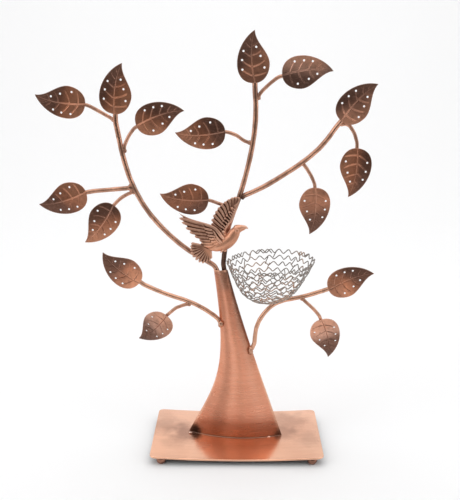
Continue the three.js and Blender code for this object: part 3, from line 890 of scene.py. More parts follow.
# %% Branches and twigs
rod_widths = {name: 5.0 for name in ("branch_left", "branch_centre", "branch_right")}
rod_widths.update({"branch_lower_left": 4.5, "branch_lower_right": 4.5})
twig_names = ("left_top_outer", "left_top_inner", "left_middle_outer", "left_middle_inner",
              "centre_upper_outer", "centre_upper_inner", "centre_low", "right_outer", "right_inner",
              "lower_left", "lower_right")
rod_widths.update({"twig_" + name: 3.5 for name in twig_names})
rod_widths["twig_left_middle_outer"] = 4.4
trunk_weld_sizes = {"branch_lower_left": (2.7, 2.2, 3.4), "branch_lower_right": (2.5, 2.2, 4.4)}
rod_step = 1.6 * MM
rod_extra = 0.5 * MM
rod_taper = 0.86
slow_swell, slow_rate = 0.02, 0.31
quick_swell, quick_rate = 0.012, 0.83
rod_lines = {}


def root_and_tip(line):
    ends = [Vector(line[0]), Vector(line[-1])]
    trunk_top = Vector((middle_x - 12 * MM, 0, 160 * MM))
    return sorted(ends, key=lambda p: (p - trunk_top).length)


def rod_beads(node, line, radius):
    """Weld beads of one rod: where it meets the trunk, its branch and its leaf."""
    root, tip = root_and_tip(line)
    if node in trunk_weld_sizes:
        side = -1 if "left" in node else 1
        size = tuple(v * MM for v in trunk_weld_sizes[node])
        return [(root + Vector((-0.6 * side, -2.2, -0.8)) * MM, size), (tip, (0.8 * radius,) * 3)]
    if node.startswith("twig"):
        swell = 1.7 if node == "twig_left_middle_outer" else 1.35
        return [(root, (radius * swell, radius * 1.25, radius * swell)), (tip, (radius * 0.9,) * 3)]
    return [(tip, (radius * 0.8,) * 3)]


def rod_form(node, width):
    radius = width / 2 * MM
    rod_lines[node] = smoothed(centre_line(node, radius, rod_step))
    line = lengthened(rod_lines[node], rod_extra)
    dice = random.Random(node)
    slow, quick = dice.uniform(0, 6), dice.uniform(0, 6)
    radii = [radius * (1 + slow_swell * math.sin(i * slow_rate + slow)
                       + quick_swell * math.sin(i * quick_rate + quick)) for i in range(len(line))]
    radii[0] *= rod_taper
    radii[-1] *= rod_taper
    bm = bmesh.new()
    bm.from_mesh(curve_mesh(node + "_rod", line, radii))
    for index, (place, size) in enumerate(rod_beads(node, rod_lines[node], radius)):
        blob(bm, place, size, seed=len(node) * 7 + index)
    return to_mesh(bm, node + "_rod")


rod_meshes = {node: rod_form(node, width) for node, width in rod_widths.items()}
welds = [(root_and_tip(line)[0], 0.4) for line in rod_lines.values()]
fork = [(root_and_tip(rod_lines["branch_right"])[0], 1.0)]
# Partly the brazed joint at the bird's foot, partly painted shadow of the bird along the rod below it.
bird_joint_and_shadow = [(p, 1.0) for p in rod_lines["branch_centre"] if p[2] < 212 * MM]
burn_reach = 5.5 * MM


def burn_and_shade_near(mesh, marks):
    """Marks how near each vertex lies to a weld, or to the painted shadow below the bird. Each mark is a
    place and its heat.
    """
    places = places_of(mesh)
    burn_and_shade = np.zeros(len(places))
    for place, heat in marks:
        gap = np.linalg.norm(places - np.array(place), axis=1)
        burn_and_shade = np.maximum(burn_and_shade, heat * np.exp(-(gap / burn_reach) ** 2))
    number_on(mesh, "burn_and_shade", burn_and_shade)


for node, mesh in rod_meshes.items():
    finish = branch_copper if node.startswith("branch") else twig_copper
    if "lower" in node:
        finish = low_rod_copper
    burn_and_shade_near(mesh, welds + fork + bird_joint_and_shadow)
    piece(node + "_rod", mesh, finish, "rod", node)
print("rods", len(rod_lines), "longest line", max(len(line) for line in rod_lines.values()))

# %% [markdown]
# ## Leaves
#
# One die stamped all sixteen leaves: an uneven blade with pressed veins and six punched holes.
# The slab is a fine grid, so that the veins can be pressed into it by formula. A boolean then cuts
# it to the outline and punches the holes, which keeps the veins smooth right up to every edge.

# %% Leaf outline and holes
leaf_length = 48.0
leaf_thick = 1.0
leaf_holes = [(0.255, 0.24), (0.436, 0.247), (0.605, 0.22),
              (0.295, -0.187), (0.512, -0.11), (0.682, -0.026)]
hole_radius = 1.0
leaf_lower = [bezier([(0, 0), (0, -0.17), (0.16, -0.29), (0.37, -0.29)], i / 26) for i in range(26)]
leaf_lower += [bezier([(0.37, -0.29), (0.6, -0.28), (0.76, 0), (1, 0)], i / 30) for i in range(30)]
leaf_upper = [bezier([(1, 0), (0.72, 0.44), (-0.03, 0.48), (0, 0)], i / 56) for i in range(56)]
leaf_rim = [tuple(p * leaf_length) for p in leaf_lower + leaf_upper]
midrib_points = [(0.02, 0), (0.55, 0.12), (0.95, 0.02)]
print("leaf rim points", len(leaf_rim))

# %% [markdown]
# A vein is a pressed groove, so it needs a course, a width and a depth. The midrib bends once. The
# side veins leave it at places along the leaf and run out towards the rim, and short ones fan near
# the tip.

# %% Veins
def on_leaf(points, count):
    """Places along a curve, in millimetres on the leaf."""
    return [bezier(points, t) * leaf_length for t in np.linspace(0, 1, count)]


def vein_lines():
    """Every vein as its places, their widths and a depth."""
    rib_start, rib_end = midrib_points[0][0], midrib_points[-1][0]
    lines = [(on_leaf(midrib_points, 40), [0.62 - 0.3 * t for t in np.linspace(0, 1, 40)], 0.9)]
    upper = [(0.12, 0.25, 0.245), (0.28, 0.465, 0.28), (0.47, 0.63, 0.24), (0.64, 0.765, 0.17),
             (0.78, 0.87, 0.10)]
    lower = [(0.12, 0.20, -0.215), (0.28, 0.43, -0.19), (0.49, 0.62, -0.12), (0.67, 0.78, -0.07)]
    for start, stop, height in upper + lower:
        x, y = bezier(midrib_points, (start - rib_start) / (rib_end - rib_start))
        away = 0.025 if height > 0 else -0.025
        path = [(x + 0.01, y + away), (start * 0.55 + stop * 0.45, height * 0.6 + y * 0.4), (stop, height)]
        lines.append((on_leaf(path, 24), [0.54 - 0.24 * t for t in np.linspace(0, 1, 24)], 0.85))
    for start in (0.70, 0.80, 0.88):
        x, y = bezier(midrib_points, (start - rib_start) / (rib_end - rib_start))
        for side in (1, -1):
            path = [(x, y + 0.01 * side), (x + 0.05, y + 0.06 * side)]
            lines.append((on_leaf(path, 10), [0.32] * 10, 0.4))
    return lines


def near_lines(places, lines):
    """For each place, how deep it lies in the nearest vein, from 0 to 1."""
    depth = np.zeros(len(places))
    for spots, widths, strength in lines:
        for a, b, width in zip(spots[:-1], spots[1:], widths):
            depth = np.maximum(depth, strength * np.exp(-(gap_to(places, a, b) / width) ** 2 * 1.6))
    return depth


def line_distance(places, line):
    """For each place, how far it lies from a line of points."""
    gap = np.full(len(places), 99.0)
    for a, b in zip(line[:-1], line[1:]):
        gap = np.minimum(gap, gap_to(places, a, b))
    return gap


def rim_distance(places):
    return line_distance(places, np.array(leaf_rim + leaf_rim[:1]))


veins = vein_lines()
print("veins", len(veins))

# %% Leaf form
leaf_columns = 150
leaf_rows = 96
slab_width = 31
slab_margin = 2
vein_press = 0.36
leaf_puff = 0.18
puff_reach = 6
leaf_fold = 0.045
tool_low, tool_high = -3, 4


def leaf_relief(places):
    """Height of the veined face over the flat blade, in millimetres."""
    depth = near_lines(places, veins)
    puff = leaf_puff * np.clip(rim_distance(places) / puff_reach, 0, 1) * (1 - depth)
    return -vein_press * depth + puff - leaf_puff


def prism(points, name):
    """A cutting tool: an outline drawn out from below the slab to above it."""
    bm = bmesh.new()
    bm.faces.new([bm.verts.new((x, y, tool_low)) for x, y in points])
    bmesh.ops.translate(bm, vec=(0, 0, tool_high - tool_low), verts=thickened(bm))
    return placed(name, to_mesh(bm, name, smooth=False))


def leaf_slab():
    """A fine slab with veins in its upper face, the one that is seen."""
    bm = flat_sheet(leaf_length + slab_margin, slab_width, leaf_columns, leaf_rows)
    bmesh.ops.translate(bm, vec=(leaf_length / 2, 1.0, 0), verts=bm.verts)
    front = thickened(bm)
    relief = leaf_relief(np.array([(v.co.x, v.co.y) for v in front]))
    for v, height in zip(front, relief):
        v.co.z = leaf_thick + height
    return placed("leaf_slab", to_mesh(bm, "leaf_slab"))


def cut(target, tool, operation):
    """Runs a boolean on the target and throws the tool away."""
    modifier = target.modifiers.new(operation.lower(), "BOOLEAN")
    modifier.operation = operation
    modifier.solver = "EXACT"
    modifier.object = tool
    mesh = baked(target)
    target.modifiers.clear()
    target.data = mesh
    tool_mesh = tool.data
    bpy.data.objects.remove(tool)
    bpy.data.meshes.remove(tool_mesh)


def stamped_leaf():
    """The master leaf in millimetres: x from base to tip, y to its full side, veins on top."""
    slab = leaf_slab()
    cut(slab, prism(leaf_rim, "leaf_outline"), "INTERSECT")
    for x, y in leaf_holes:
        ring = [(x * leaf_length + hole_radius * math.cos(a), y * leaf_length + hole_radius * math.sin(a))
                for a in np.linspace(0, 2 * math.pi, 21)[:-1]]
        cut(slab, prism(ring, "hole_punch"), "DIFFERENCE")
    mesh = slab.data
    bpy.data.objects.remove(slab)
    return mesh


leaf_master = stamped_leaf()
print("leaf triangles", triangles(leaf_master))

# %% [markdown]
# Each leaf hangs at its own angle: a turn in the plane of the tree, and a tilt. The packed
# leaf says where: its tip is the vertex farthest along the leaf's own direction, and its back is
# the vertex lowest along its normal.

# %% Table of leaves
# For each leaf: its turn and tilt in degrees, its tone, and where its half of painted dark reflection lies,
# across and up.
leaves = {
    "left_tip": (78.4, 0, 0.0, -0.8, 0.6),
    "centre_tip": (90.2, 0, 0.35, -0.8, 0.6),
    "right_tip": (45.8, 0, 0.5, -0.5, 0.9),
    "lower_left_tip": (136.6, -4, 0.2, -0.7, 0.7),
    "lower_right_tip": (20.8, 0, 0.0, 0.5, 0.8),
    "left_top_outer": (168.7, 0, 0.1, -1.0, 0.3),
    "left_top_inner": (17, 0, 0.1, 0.3, 1.0),
    "left_middle_outer": (-165.9, 0, 0.1, -0.6, -0.8),
    "left_middle_inner": (-128.8, 0, 0.1, -0.3, 1.0),
    "centre_upper_outer": (4.2, 0, 0.75, -0.2, -1.0),
    "centre_upper_inner": (-179.1, 0, 0.0, 0.8, 0.5),
    "centre_low": (172, 0, 0.0, 0.3, -0.6),
    "right_outer": (-99.2, 0, 0.1, 1.0, -0.2),
    "right_inner": (-95.6, 6, 0.3, 0.2, -0.7),
    "lower_left": (-135.7, 22, 1.0, -0.9, -0.6),
    "lower_right": (-78.4, 14, 0.8, 0.4, -0.9),
}


def leaf_frame(name):
    """Where the master leaf goes: its rotation and the point of its base."""
    turn, tilt = (math.radians(a) for a in leaves[name][:2])
    rotation = (Matrix.Rotation(math.pi / 2, 3, "X") @ Matrix.Rotation(turn, 3, "Z")
                @ Matrix.Rotation(tilt, 3, "Y"))
    along, _, normal = rotation.col
    spots = [v.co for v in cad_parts["leaf_" + name].data.vertices]
    tip = max(spots, key=lambda p: p.dot(along))
    base = tip - along * (leaf_length * MM)
    base += normal * (min(p.dot(normal) for p in spots) - base.dot(normal))
    return rotation, base


print("leaf angles", len(leaves))

# %% [markdown]
# The finish needs to know where the grooves, the rim and the tip are. Three numbers on every
# vertex say so: `vein` is how deep it was pressed, `edge` is how near the rim it lies, and `reach`
# runs from the stalk to the tip.

# %% Leaf finish
back_height = 0.25
edge_reach = 0.7
master_places = places_of(leaf_master)
seen_face = (master_places[:, 2] > back_height).astype(float)
leaf_numbers = {
    "vein": near_lines(master_places[:, :2], veins) * seen_face,
    "edge": np.exp(-rim_distance(master_places[:, :2]) / edge_reach),
    "reach": np.clip(master_places[:, 0] / leaf_length, 0, 1),
}


def leaf_finish():
    f = Finish("stamped_copper_leaf", (0.66, 0.26, 0.14), 0.28)
    wash = f.group(antique_wash, Patch_Scale=34, Cover=0.5, Softness=0.24)
    grain = f.group(brush_lines, Stretch=(260, 260, 1500), Waver=0.006)
    tone = f.attribute("tone")
    f.tint(f.shaped(tone, 0.0, 1.0, 0.0, 0.9), (0.76, 0.45, 0.34))
    # Painted reflection: darker brown towards the tip, where the leaf would reflect the dark.
    f.tint(f.shaped(f.attribute("reach"), 0.15, 0.95, 0.0, 0.5), BROWN)
    # Painted reflection: one half of the leaf darker, as if it reflects the dark, and the other half brighter
    # orange.
    f.tint(f.shaped(f.attribute("reflection_side"), 0.35, 0.85, 0, 0.85), (0.13, 0.075, 0.06))
    f.tint(f.shaped(f.attribute("reflection_side"), 0.45, 0.05, 0, 0.5), (0.78, 0.37, 0.225))
    dark_tip = f.times(f.shaped(f.attribute("reach"), 0.7, 1.0), f.shaped(tone, 0.3, 0.9, 0.0, 0.8))
    f.tint(dark_tip, (0.10, 0.085, 0.08))
    f.tint(f.shaped(wash["Mask"], 0, 1, 0, 0.6), (0.19, 0.09, 0.06))
    f.tint(f.shaped(wash["Mottle"], 0.48, 0.78, 0, 0.4), BROWN)
    f.tint(f.shaped(grain["Lines"], 0.5, 0.8, 0, 0.2), (0.75, 0.47, 0.36))
    vein = f.shaped(f.attribute("vein"), 0.45, 0.85)
    # Painted highlight on the vein walls that face up, painted shade on those that face down, fading out on
    # pale leaves.
    lit_vein_wall = f.times(vein, f.shaped(f.attribute("upward"), 0.3, 0.55))
    shaded_vein_wall = f.times(vein, f.shaped(f.attribute("upward"), 0.5, 0.3))
    f.tint(f.times(lit_vein_wall, f.shaped(tone, 0.2, 0.7, 0.5, 0.0)), (0.84, 0.48, 0.35))
    f.tint(f.times(shaded_vein_wall, f.shaped(tone, 0.2, 0.7, 0.75, 0.0)), (0.07, 0.03, 0.02))
    f.tint(f.times(vein, f.shaped(tone, 0.35, 0.8, 0.0, 0.85)), (0.10, 0.05, 0.035))
    f.tint(f.shaped(f.attribute("edge"), 0.35, 0.9, 0, 0.35), (0.80, 0.52, 0.40))
    f.roughen(wash["Mottle"], 0.16)
    f.roughen(f.shaped(f.attribute("reach"), 0.3, 1.0), 0.1)
    f.raise_by(wash["Mottle"], 0.05)
    f.raise_by(grain["Lines"], 0.015)
    return f.done()

# %% [markdown]
# No two leaves took the wash alike. The table's `tone` runs from 0 for an orange leaf to 1 for a
# pale one with dark veins. Each leaf also has a half of painted dark reflection, and the other half
# gets a painted bright reflection. Both follow the real leaves.

# %% Sixteen leaves
leaf_lift = 0.35
facing_reach = 6
dark_reach = 26


def leaf_piece(name, finish):
    rotation, base = leaf_frame(name)
    mesh = leaf_master.copy()
    mesh.name = "leaf_" + name + "_stamping"
    dice = random.Random(name)
    fold = leaf_fold * dice.uniform(0.7, 1.3)
    cup = dice.uniform(0.3, 0.8)
    places = master_places.copy()
    rib = places[:, 1] - np.interp(places[:, 0], *zip(*on_leaf(midrib_points, 20)))
    share = places[:, 0] / leaf_length
    places[:, 2] += leaf_lift - fold * np.abs(rib) - cup * (2 * share - 1) ** 2
    turned = places @ np.array(rotation).T * MM + np.array(base)
    mesh.vertices.foreach_set("co", turned.astype(np.float32).ravel())
    mesh.update()
    for label, values in leaf_numbers.items():
        number_on(mesh, label, values)
    # Which side of the midrib faces up, for the painted vein highlight and shade.
    number_on(mesh, "upward", np.clip(0.5 + rotation[2][1] * rib / facing_reach, 0, 1))
    tone, aside, above = leaves[name][2:]
    # How far each vertex lies towards the painted dark reflection.
    off_centre = (turned - turned.mean(axis=0)) / MM
    shade = off_centre[:, 0] * aside + off_centre[:, 2] * above
    number_on(mesh, "reflection_side", np.clip(0.5 + shade / dark_reach, 0, 1))
    number_on(mesh, "tone", np.full(len(places), tone))
    piece("leaf_" + name + "_stamping", mesh, finish, "leaf", "leaf_" + name)


stamped_copper = leaf_finish()
for name in leaves:
    leaf_piece(name, stamped_copper)
bpy.data.meshes.remove(leaf_master)
print("leaves", len(leaves))

# %% [markdown]
# ## Bird
#
# The bird is cast in one piece, and its model was surely built up in wax, one soft roll after
# another: a body, a head, an arm for each wing and a roll for each feather. The script does the
# same. Every roll is a sphere bent along a path. A voxel remesh then melts the rolls into one
# skin, and a little smoothing gives it the soft look of a casting.

# %% Roll of wax
bird_low, bird_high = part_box("bird")
bird_y = (bird_low.y + bird_high.y) / 2
look_ahead = 0.02
smallest_ring = 1e-6
print("bird depth in mm", round((bird_high.y - bird_low.y) / MM, 1))


def swept(bm, path, widths, depths, roll=0.0, rings=26, around=14, blunt=1.8):
    """A roll along a path of (x, z, depth towards the viewer), all in millimetres."""
    made = bmesh.ops.create_uvsphere(bm, u_segments=around, v_segments=rings, radius=1.0)
    for v in made["verts"]:
        share = math.acos(max(-1.0, min(1.0, -v.co.z))) / math.pi
        ring = math.hypot(v.co.x, v.co.y)
        cap = min(1.0, ring * blunt)
        here = through(path, share)
        heading = through(path, min(share + look_ahead, 1)) - through(path, max(share - look_ahead, 0))
        heading = heading[:2] / (np.linalg.norm(heading[:2]) + 1e-9)
        wide = float(through(widths, share)) * cap * (v.co.x / ring if ring > smallest_ring else 0)
        deep = float(through(depths, share)) * cap * (v.co.y / ring if ring > smallest_ring else 0)
        across = wide * math.cos(roll) - deep * math.sin(roll)
        out = wide * math.sin(roll) + deep * math.cos(roll)
        v.co = (here[0] - heading[1] * across, -(here[2] + out), here[1] + heading[0] * across)


def bead(bm, place, radius):
    made = bmesh.ops.create_uvsphere(bm, u_segments=14, v_segments=10, radius=radius)
    bmesh.ops.translate(bm, vec=(place[0], -place[2], place[1]), verts=made["verts"])

# %% [markdown]
# Points are in millimetres: across from the middle of the tree, up from the table, and out
# towards the viewer from the middle of the casting.

# %% Body, head and tail
def wax_body(bm):
    back = [(-35, 214.2, 0), (-26, 214.0, 0.2), (-18.3, 215.9, 0.6), (-11.2, 219.4, 0.8),
            (-6.0, 224.0, 0.7), (-2.9, 228.9, 0.5), (-0.2, 232.4, 0.3), (3.0, 234.4, 0.2)]
    swept(bm, back, [2.4, 3.8, 5.0, 6.4, 6.2, 5.6, 5.0, 3.4], [1.6, 2.8, 4.2, 5.0, 5.0, 4.5, 4.0, 2.8],
          rings=40, around=28, blunt=1.5)
    head = [(-4.0, 230.8, 0.3), (0.0, 233.4, 0.3), (4.4, 234.9, 0.2), (8.4, 235.0, 0), (11.2, 233.0, 0)]
    swept(bm, head, [5.0, 4.4, 2.7, 1.5, 0.7], [4.3, 3.9, 2.4, 1.3, 0.6], around=24, blunt=1.6)
    swept(bm, [(-0.5, 231.3, 0.1), (4.6, 232.9, 0), (8.6, 233.8, 0)], [2.8, 1.7, 0.7], [2.8, 1.7, 0.7])
    eyelid = [(-0.2 + 1.5 * math.cos(a), 233.0 + 1.5 * math.sin(a), 4.9)
              for a in np.linspace(0, 2 * math.pi, 13)]
    swept(bm, eyelid, [0.5, 0.5], [0.7, 0.7], rings=40, around=8, blunt=20)
    bead(bm, (-0.2, 233.0, 4.5), 0.9)
    bead(bm, (-1.4, 231.2, 0.3), 4.7)


def wax_tail(bm):
    tips = [(-45.6, 218.6), (-46.6, 215.4), (-46.8, 211.8), (-46.1, 208.1), (-44.3, 204.6), (-41.4, 201.4),
            (-38.1, 199.0), (-34.6, 198.0), (-31.1, 198.5), (-28.0, 200.1), (-26.0, 202.9)]
    for i, tip in enumerate(tips):
        share = i / (len(tips) - 1)
        root = (-31.0 + 5.0 * share, 216.4 - 2.8 * share)
        middle = ((root[0] + tip[0]) / 2 - 0.6 * (1 - share), (root[1] + tip[1]) / 2 - 0.5 * share)
        swept(bm, [(*root, 0.4), (*middle, 0.3), (*tip, -0.3)], [0.7, 1.45, 1.75], [1.2, 1.1, 0.85],
              roll=0.5, rings=22, around=10, blunt=2.6)
    web = [(-26, 213.6, -0.6), (-33, 211.3, -0.9), (-39.5, 208.8, -1.2)]
    swept(bm, web, [3.2, 7.2, 7.0], [1.0, 0.8, 0.5])

# %% [markdown]
# The near wing has three rows of feathers, and each row is shorter and stands farther out than the
# one under it. Its arm and two thin ridges lie in front, and a flat roll behind joins the feathers.

# %% Near wing
def feather_row(bm, roots, tips, sag, outs, widths, depths, **shape):
    """One row of feathers, each bent a little at its middle, and standing out by the three outs."""
    for tip, root in zip(tips, roots):
        middle = ((root[0] + tip[0]) / 2, (root[1] + tip[1]) / 2 - sag)
        swept(bm, [(*root, outs[0]), (*middle, outs[1]), (*tip, outs[2])], widths, depths, around=10, **shape)


def wax_near_wing(bm):
    tips = [(-57.0, 244.6), (-54.6, 240.2), (-50.8, 234.6), (-47.0, 230.4), (-42.0, 226.2), (-37.4, 222.4),
            (-35.8, 219.0), (-33.9, 216.2)]
    roots = [(-30.5, 237.2), (-29.8, 234.6), (-29.2, 231.2), (-28.2, 228.0), (-26.8, 224.9),
             (-25.2, 222.0), (-23.0, 219.6), (-20.6, 217.4)]
    feather_row(bm, roots, tips, 0.5, (2.2, 1.7, 0.6), [1.7, 2.1, 1.7], [1.25, 1.1, 0.7],
                roll=-0.45, rings=26, blunt=2.6)
    tips = [(-32.8, 234.6), (-31.6, 231.2), (-29.8, 227.8), (-28.1, 224.4), (-26.2, 221.4), (-23.6, 218.8),
            (-20.8, 216.6)]
    roots = [(-24.0, 232.9), (-23.2, 229.8), (-22.2, 226.8), (-20.6, 224.0), (-18.9, 221.8),
             (-17.2, 219.8), (-15.8, 217.9)]
    feather_row(bm, roots, tips, 0.3, (3.6, 3.2, 2.6), [1.35, 1.5, 1.1], [1.1, 1.0, 0.7],
                roll=-0.5, rings=16, blunt=2.4)
    tips = [(-26.6, 227.6), (-24.9, 224.7), (-22.9, 222.1), (-20.9, 219.7), (-18.7, 217.9)]
    roots = [(-20.9, 226.7), (-19.3, 224.5), (-17.6, 222.5), (-15.9, 220.6), (-14.2, 218.9)]
    for tip, root in zip(tips, roots):
        swept(bm, [(*root, 4.4), (*tip, 3.8)], [1.05, 0.8], [0.95, 0.7], roll=-0.45, rings=12, around=8)
    arm = [(-10.0, 221.6, 3.4), (-14.6, 225.8, 3.6), (-18.9, 231.4, 3.1), (-22.8, 235.0, 2.7),
           (-30.1, 237.9, 2.2), (-37.3, 240.0, 1.7), (-45.5, 242.6, 1.1), (-51.7, 245.6, 0.7),
           (-58.2, 250.2, 0.4)]
    swept(bm, arm, [1.9, 1.8, 1.9, 1.8, 1.6, 1.4, 1.2, 1.0, 0.7],
          [1.6, 1.7, 1.7, 1.5, 1.3, 1.1, 0.9, 0.7, 0.5], rings=48, blunt=2.6)
    ridge = [(-12.6, 219.0, 5.0), (-17.2, 222.7, 4.7), (-20.7, 227.3, 4.1), (-23.2, 231.7, 3.4),
             (-27.0, 234.2, 2.8), (-34.0, 236.6, 2.2)]
    swept(bm, ridge, [1.2, 1.2, 1.15, 1.05, 0.9, 0.6], [1.1, 1.1, 1.1, 1.0, 0.9, 0.6], rings=36)
    thin_ridge = [(-15.2, 218.9, 5.0), (-19.3, 222.2, 4.7), (-22.3, 226.6, 4.1), (-24.2, 230.6, 3.5)]
    swept(bm, thin_ridge, [0.7, 0.75, 0.7, 0.5], [0.8, 0.8, 0.8, 0.6], rings=26)
    backing = [(-13, 222.5, 1.6), (-22, 227.0, 1.4), (-31.5, 231.2, 1.0), (-43, 236.0, 0.3),
               (-53, 243.0, -0.1)]
    swept(bm, backing, [4.2, 7.4, 7.6, 5.2, 2.4], [1.3, 1.1, 0.9, 0.7, 0.5], rings=34, around=24)

# %% [markdown]
# The far wing stands up behind the head. Its feathers bend once, a row of beads runs along its arm,
# and short locks cross the arm.

# %% Far wing
def wax_far_wing(bm):
    tips = [(-25.4, 238.8), (-25.0, 243.2), (-23.3, 247.4), (-21.2, 251.1), (-18.8, 254.6), (-15.9, 257.8),
            (-12.4, 260.6), (-8.9, 263.0), (-5.3, 264.8), (-1.7, 265.6), (1.6, 265.0)]
    bends = [(-21.0, 235.6), (-20.4, 239.4), (-19.2, 243.4), (-17.4, 247.1), (-15.2, 250.5), (-12.6, 253.6),
             (-9.7, 256.2), (-6.9, 258.6), (-4.2, 260.6), (-1.7, 261.6), (0.6, 261.4)]
    roots = [(-14.6, 231.6), (-14.0, 234.2), (-13.2, 237.0), (-12.2, 239.9), (-10.8, 242.7), (-9.2, 245.5),
             (-7.4, 248.3), (-5.8, 250.9), (-4.4, 253.4), (-3.2, 255.4), (-2.0, 257.0)]
    for tip, bend, root in zip(tips, bends, roots):
        swept(bm, [(*root, 0.4), (*bend, 0.1), (*tip, -0.6)], [1.2, 1.75, 2.0], [1.2, 1.1, 0.85], roll=-0.45,
              rings=24, around=10, blunt=2.8)
    arm = [(-12.6, 227.5, -0.4), (-11.9, 233.2, 0.0), (-8.9, 238.0, 0.5), (-5.9, 242.6, 0.6),
           (-4.3, 248.6, 0.4), (-3.1, 254.6, 0.1), (-0.3, 260.2, -0.4), (2.6, 263.6, -0.8)]
    swept(bm, arm, [1.8, 1.5, 1.3, 1.3, 1.25, 1.2, 1.2, 0.9], [1.6, 1.5, 1.4, 1.3, 1.2, 1.1, 0.9, 0.7],
          rings=42)
    beads = [(-14.9, 238.9), (-13.5, 241.4), (-11.9, 244.0), (-10.0, 246.9), (-7.7, 250.3), (-5.0, 254.2)]
    for i, place in enumerate(beads):
        bead(bm, (*place, 1.1 + 0.08 * i), 0.85 + 0.09 * i)
    for i in range(9):
        x, z = through([(-14.0, 234.6), (-9.4, 241.0), (-5.8, 247.4), (-4.0, 253.6)], i / 8)
        lock = [(x + 2.4, z - 1.6, 0.6), (x, z + 0.3, 1.0), (x - 2.0, z + 2.6, 0.8)]
        swept(bm, lock, [0.75, 0.8, 0.6], [0.9, 0.9, 0.7], rings=14, around=8)
    backing = [(-13.0, 228.6, -0.9), (-15.6, 238.0, -0.9), (-12.6, 248.0, -0.9), (-6.0, 257.2, -1.1),
               (-0.8, 262.6, -1.2)]
    swept(bm, backing, [4.4, 8.0, 8.2, 6.2, 2.8], [1.4, 1.1, 1.0, 0.9, 0.7], rings=34, around=24)
    bead(bm, (-13.9, 229.9, -0.6), 2.7)
    bead(bm, (-12.7, 227.0, -0.2), 2.6)

# %% [markdown]
# The remesh melts the rolls into one skin. Two numbers then go on its vertices: `relief` tells
# ridges from grooves, and `feathered` marks the wings and the tail, where the wash was left on.

# %% Melted into one casting
bird_voxel = 0.34
relief_rounds = 26
relief_gain = 2.6
body_reach = 6
feather_reach = 9


def neighbour_mean(values, edges, counts):
    total = np.zeros_like(values)
    for k in range(values.shape[1]):
        total[:, k] = (np.bincount(edges[:, 0], values[edges[:, 1], k], len(values))
                       + np.bincount(edges[:, 1], values[edges[:, 0], k], len(values)))
    return total / counts[:, None]


def relief_on(mesh):
    """Marks ridges above 0.5 and grooves below it, by how far a vertex stands off a smoothed copy."""
    edges = np.empty(len(mesh.edges) * 2, dtype=np.int32)
    mesh.edges.foreach_get("vertices", edges)
    edges = edges.reshape(-1, 2)
    counts = np.bincount(edges.ravel(), minlength=len(mesh.vertices)).astype(float)
    start = places_of(mesh)
    soft = start
    for _ in range(relief_rounds):
        soft = (soft + neighbour_mean(soft, edges, counts)) / 2
    normals = np.empty(len(mesh.vertices) * 3, dtype=np.float32)
    mesh.vertices.foreach_get("normal", normals)
    stand = np.einsum("ij,ij->i", start - soft, normals.reshape(-1, 3))
    number_on(mesh, "relief", np.clip(0.5 + stand / MM * relief_gain, 0, 1))


def feathered_on(mesh):
    places = places_of(mesh) / MM - np.array([middle_x / MM, 0, 0])
    spine = np.array([(-22, 214.5), (-18.3, 216.5), (-11.6, 219.4), (-6, 224), (-2, 230), (4, 234)])
    gap = line_distance(places[:, [0, 2]], spine)
    number_on(mesh, "feathered", np.clip((gap - body_reach) / feather_reach, 0, 1))


def bird_form():
    bm = bmesh.new()
    wax_body(bm)
    wax_tail(bm)
    wax_near_wing(bm)
    wax_far_wing(bm)
    bead(bm, (-12.0, 212.6, 1.4), 2.0)
    claw = [(-11.4, 215.2, 3.2), (-14.4, 212.6, 3.4), (-16.8, 209.4, 3.0)]
    swept(bm, claw, [1.3, 0.9, 0.4], [1.2, 0.9, 0.4])
    bmesh.ops.scale(bm, vec=(MM, MM, MM), verts=bm.verts)
    bmesh.ops.translate(bm, vec=(middle_x, bird_y, 0), verts=bm.verts)
    wax = placed("bird_wax", to_mesh(bm, "bird_wax"))
    melt = wax.modifiers.new("melt", "REMESH")
    melt.mode = "VOXEL"
    melt.voxel_size = bird_voxel * MM
    skin = baked(wax)
    bpy.data.objects.remove(wax)
    bm = bmesh.new()
    bm.from_mesh(skin)
    for _ in range(2):
        bmesh.ops.smooth_vert(bm, verts=bm.verts, factor=0.5, use_axis_x=True, use_axis_y=True,
                              use_axis_z=True)
    mesh = to_mesh(bm, "bird_casting")
    relief_on(mesh)
    feathered_on(mesh)
    return mesh


def bird_finish():
    f = Finish("cast_copper_bird", (0.70, 0.34, 0.212), 0.38)
    wash = f.group(antique_wash, Patch_Scale=60, Cover=0.45, Softness=0.24)
    relief = f.attribute("relief")
    feathered = f.attribute("feathered")
    f.tint(f.shaped(wash["Mask"], 0, 1, 0, 0.3), (0.40, 0.2, 0.13))
    f.tint(f.shaped(feathered, 0.15, 0.8, 0, 0.9), (0.25, 0.125, 0.085))
    groove = f.times(f.shaped(relief, 0.5, 0.22), f.shaped(feathered, 0.0, 0.2, 0.3, 0.95))
    f.tint(groove, (0.075, 0.032, 0.02))
    ridge = f.shaped(relief, 0.58, 0.9, 0, 0.75)
    f.tint(f.times(ridge, f.shaped(feathered, 0.3, 1.0, 1.0, 0.6)), (0.90, 0.55, 0.40))
    f.tint(f.shaped(wash["Mottle"], 0.55, 0.8, 0, 0.2), BROWN)
    f.roughen(f.shaped(relief, 0.5, 0.3), 0.22)
    f.roughen(wash["Mottle"], 0.08)
    f.raise_by(wash["Mottle"], 0.05)
    return f.done()


bird = piece("bird_casting", bird_form(), bird_finish(), "bird", "bird")
print("bird triangles", triangles(bird.data))

# %% [markdown]
# ## Nest
#
# The nest is a bowl of thin steel wire. Each row is one hoop of wire crimped into rounded
# zigzags, and rows lean on their neighbours through short twisted links. Hand work shows in it, so
# every row gets its own phase, and every wave its own small error, from a seeded generator.

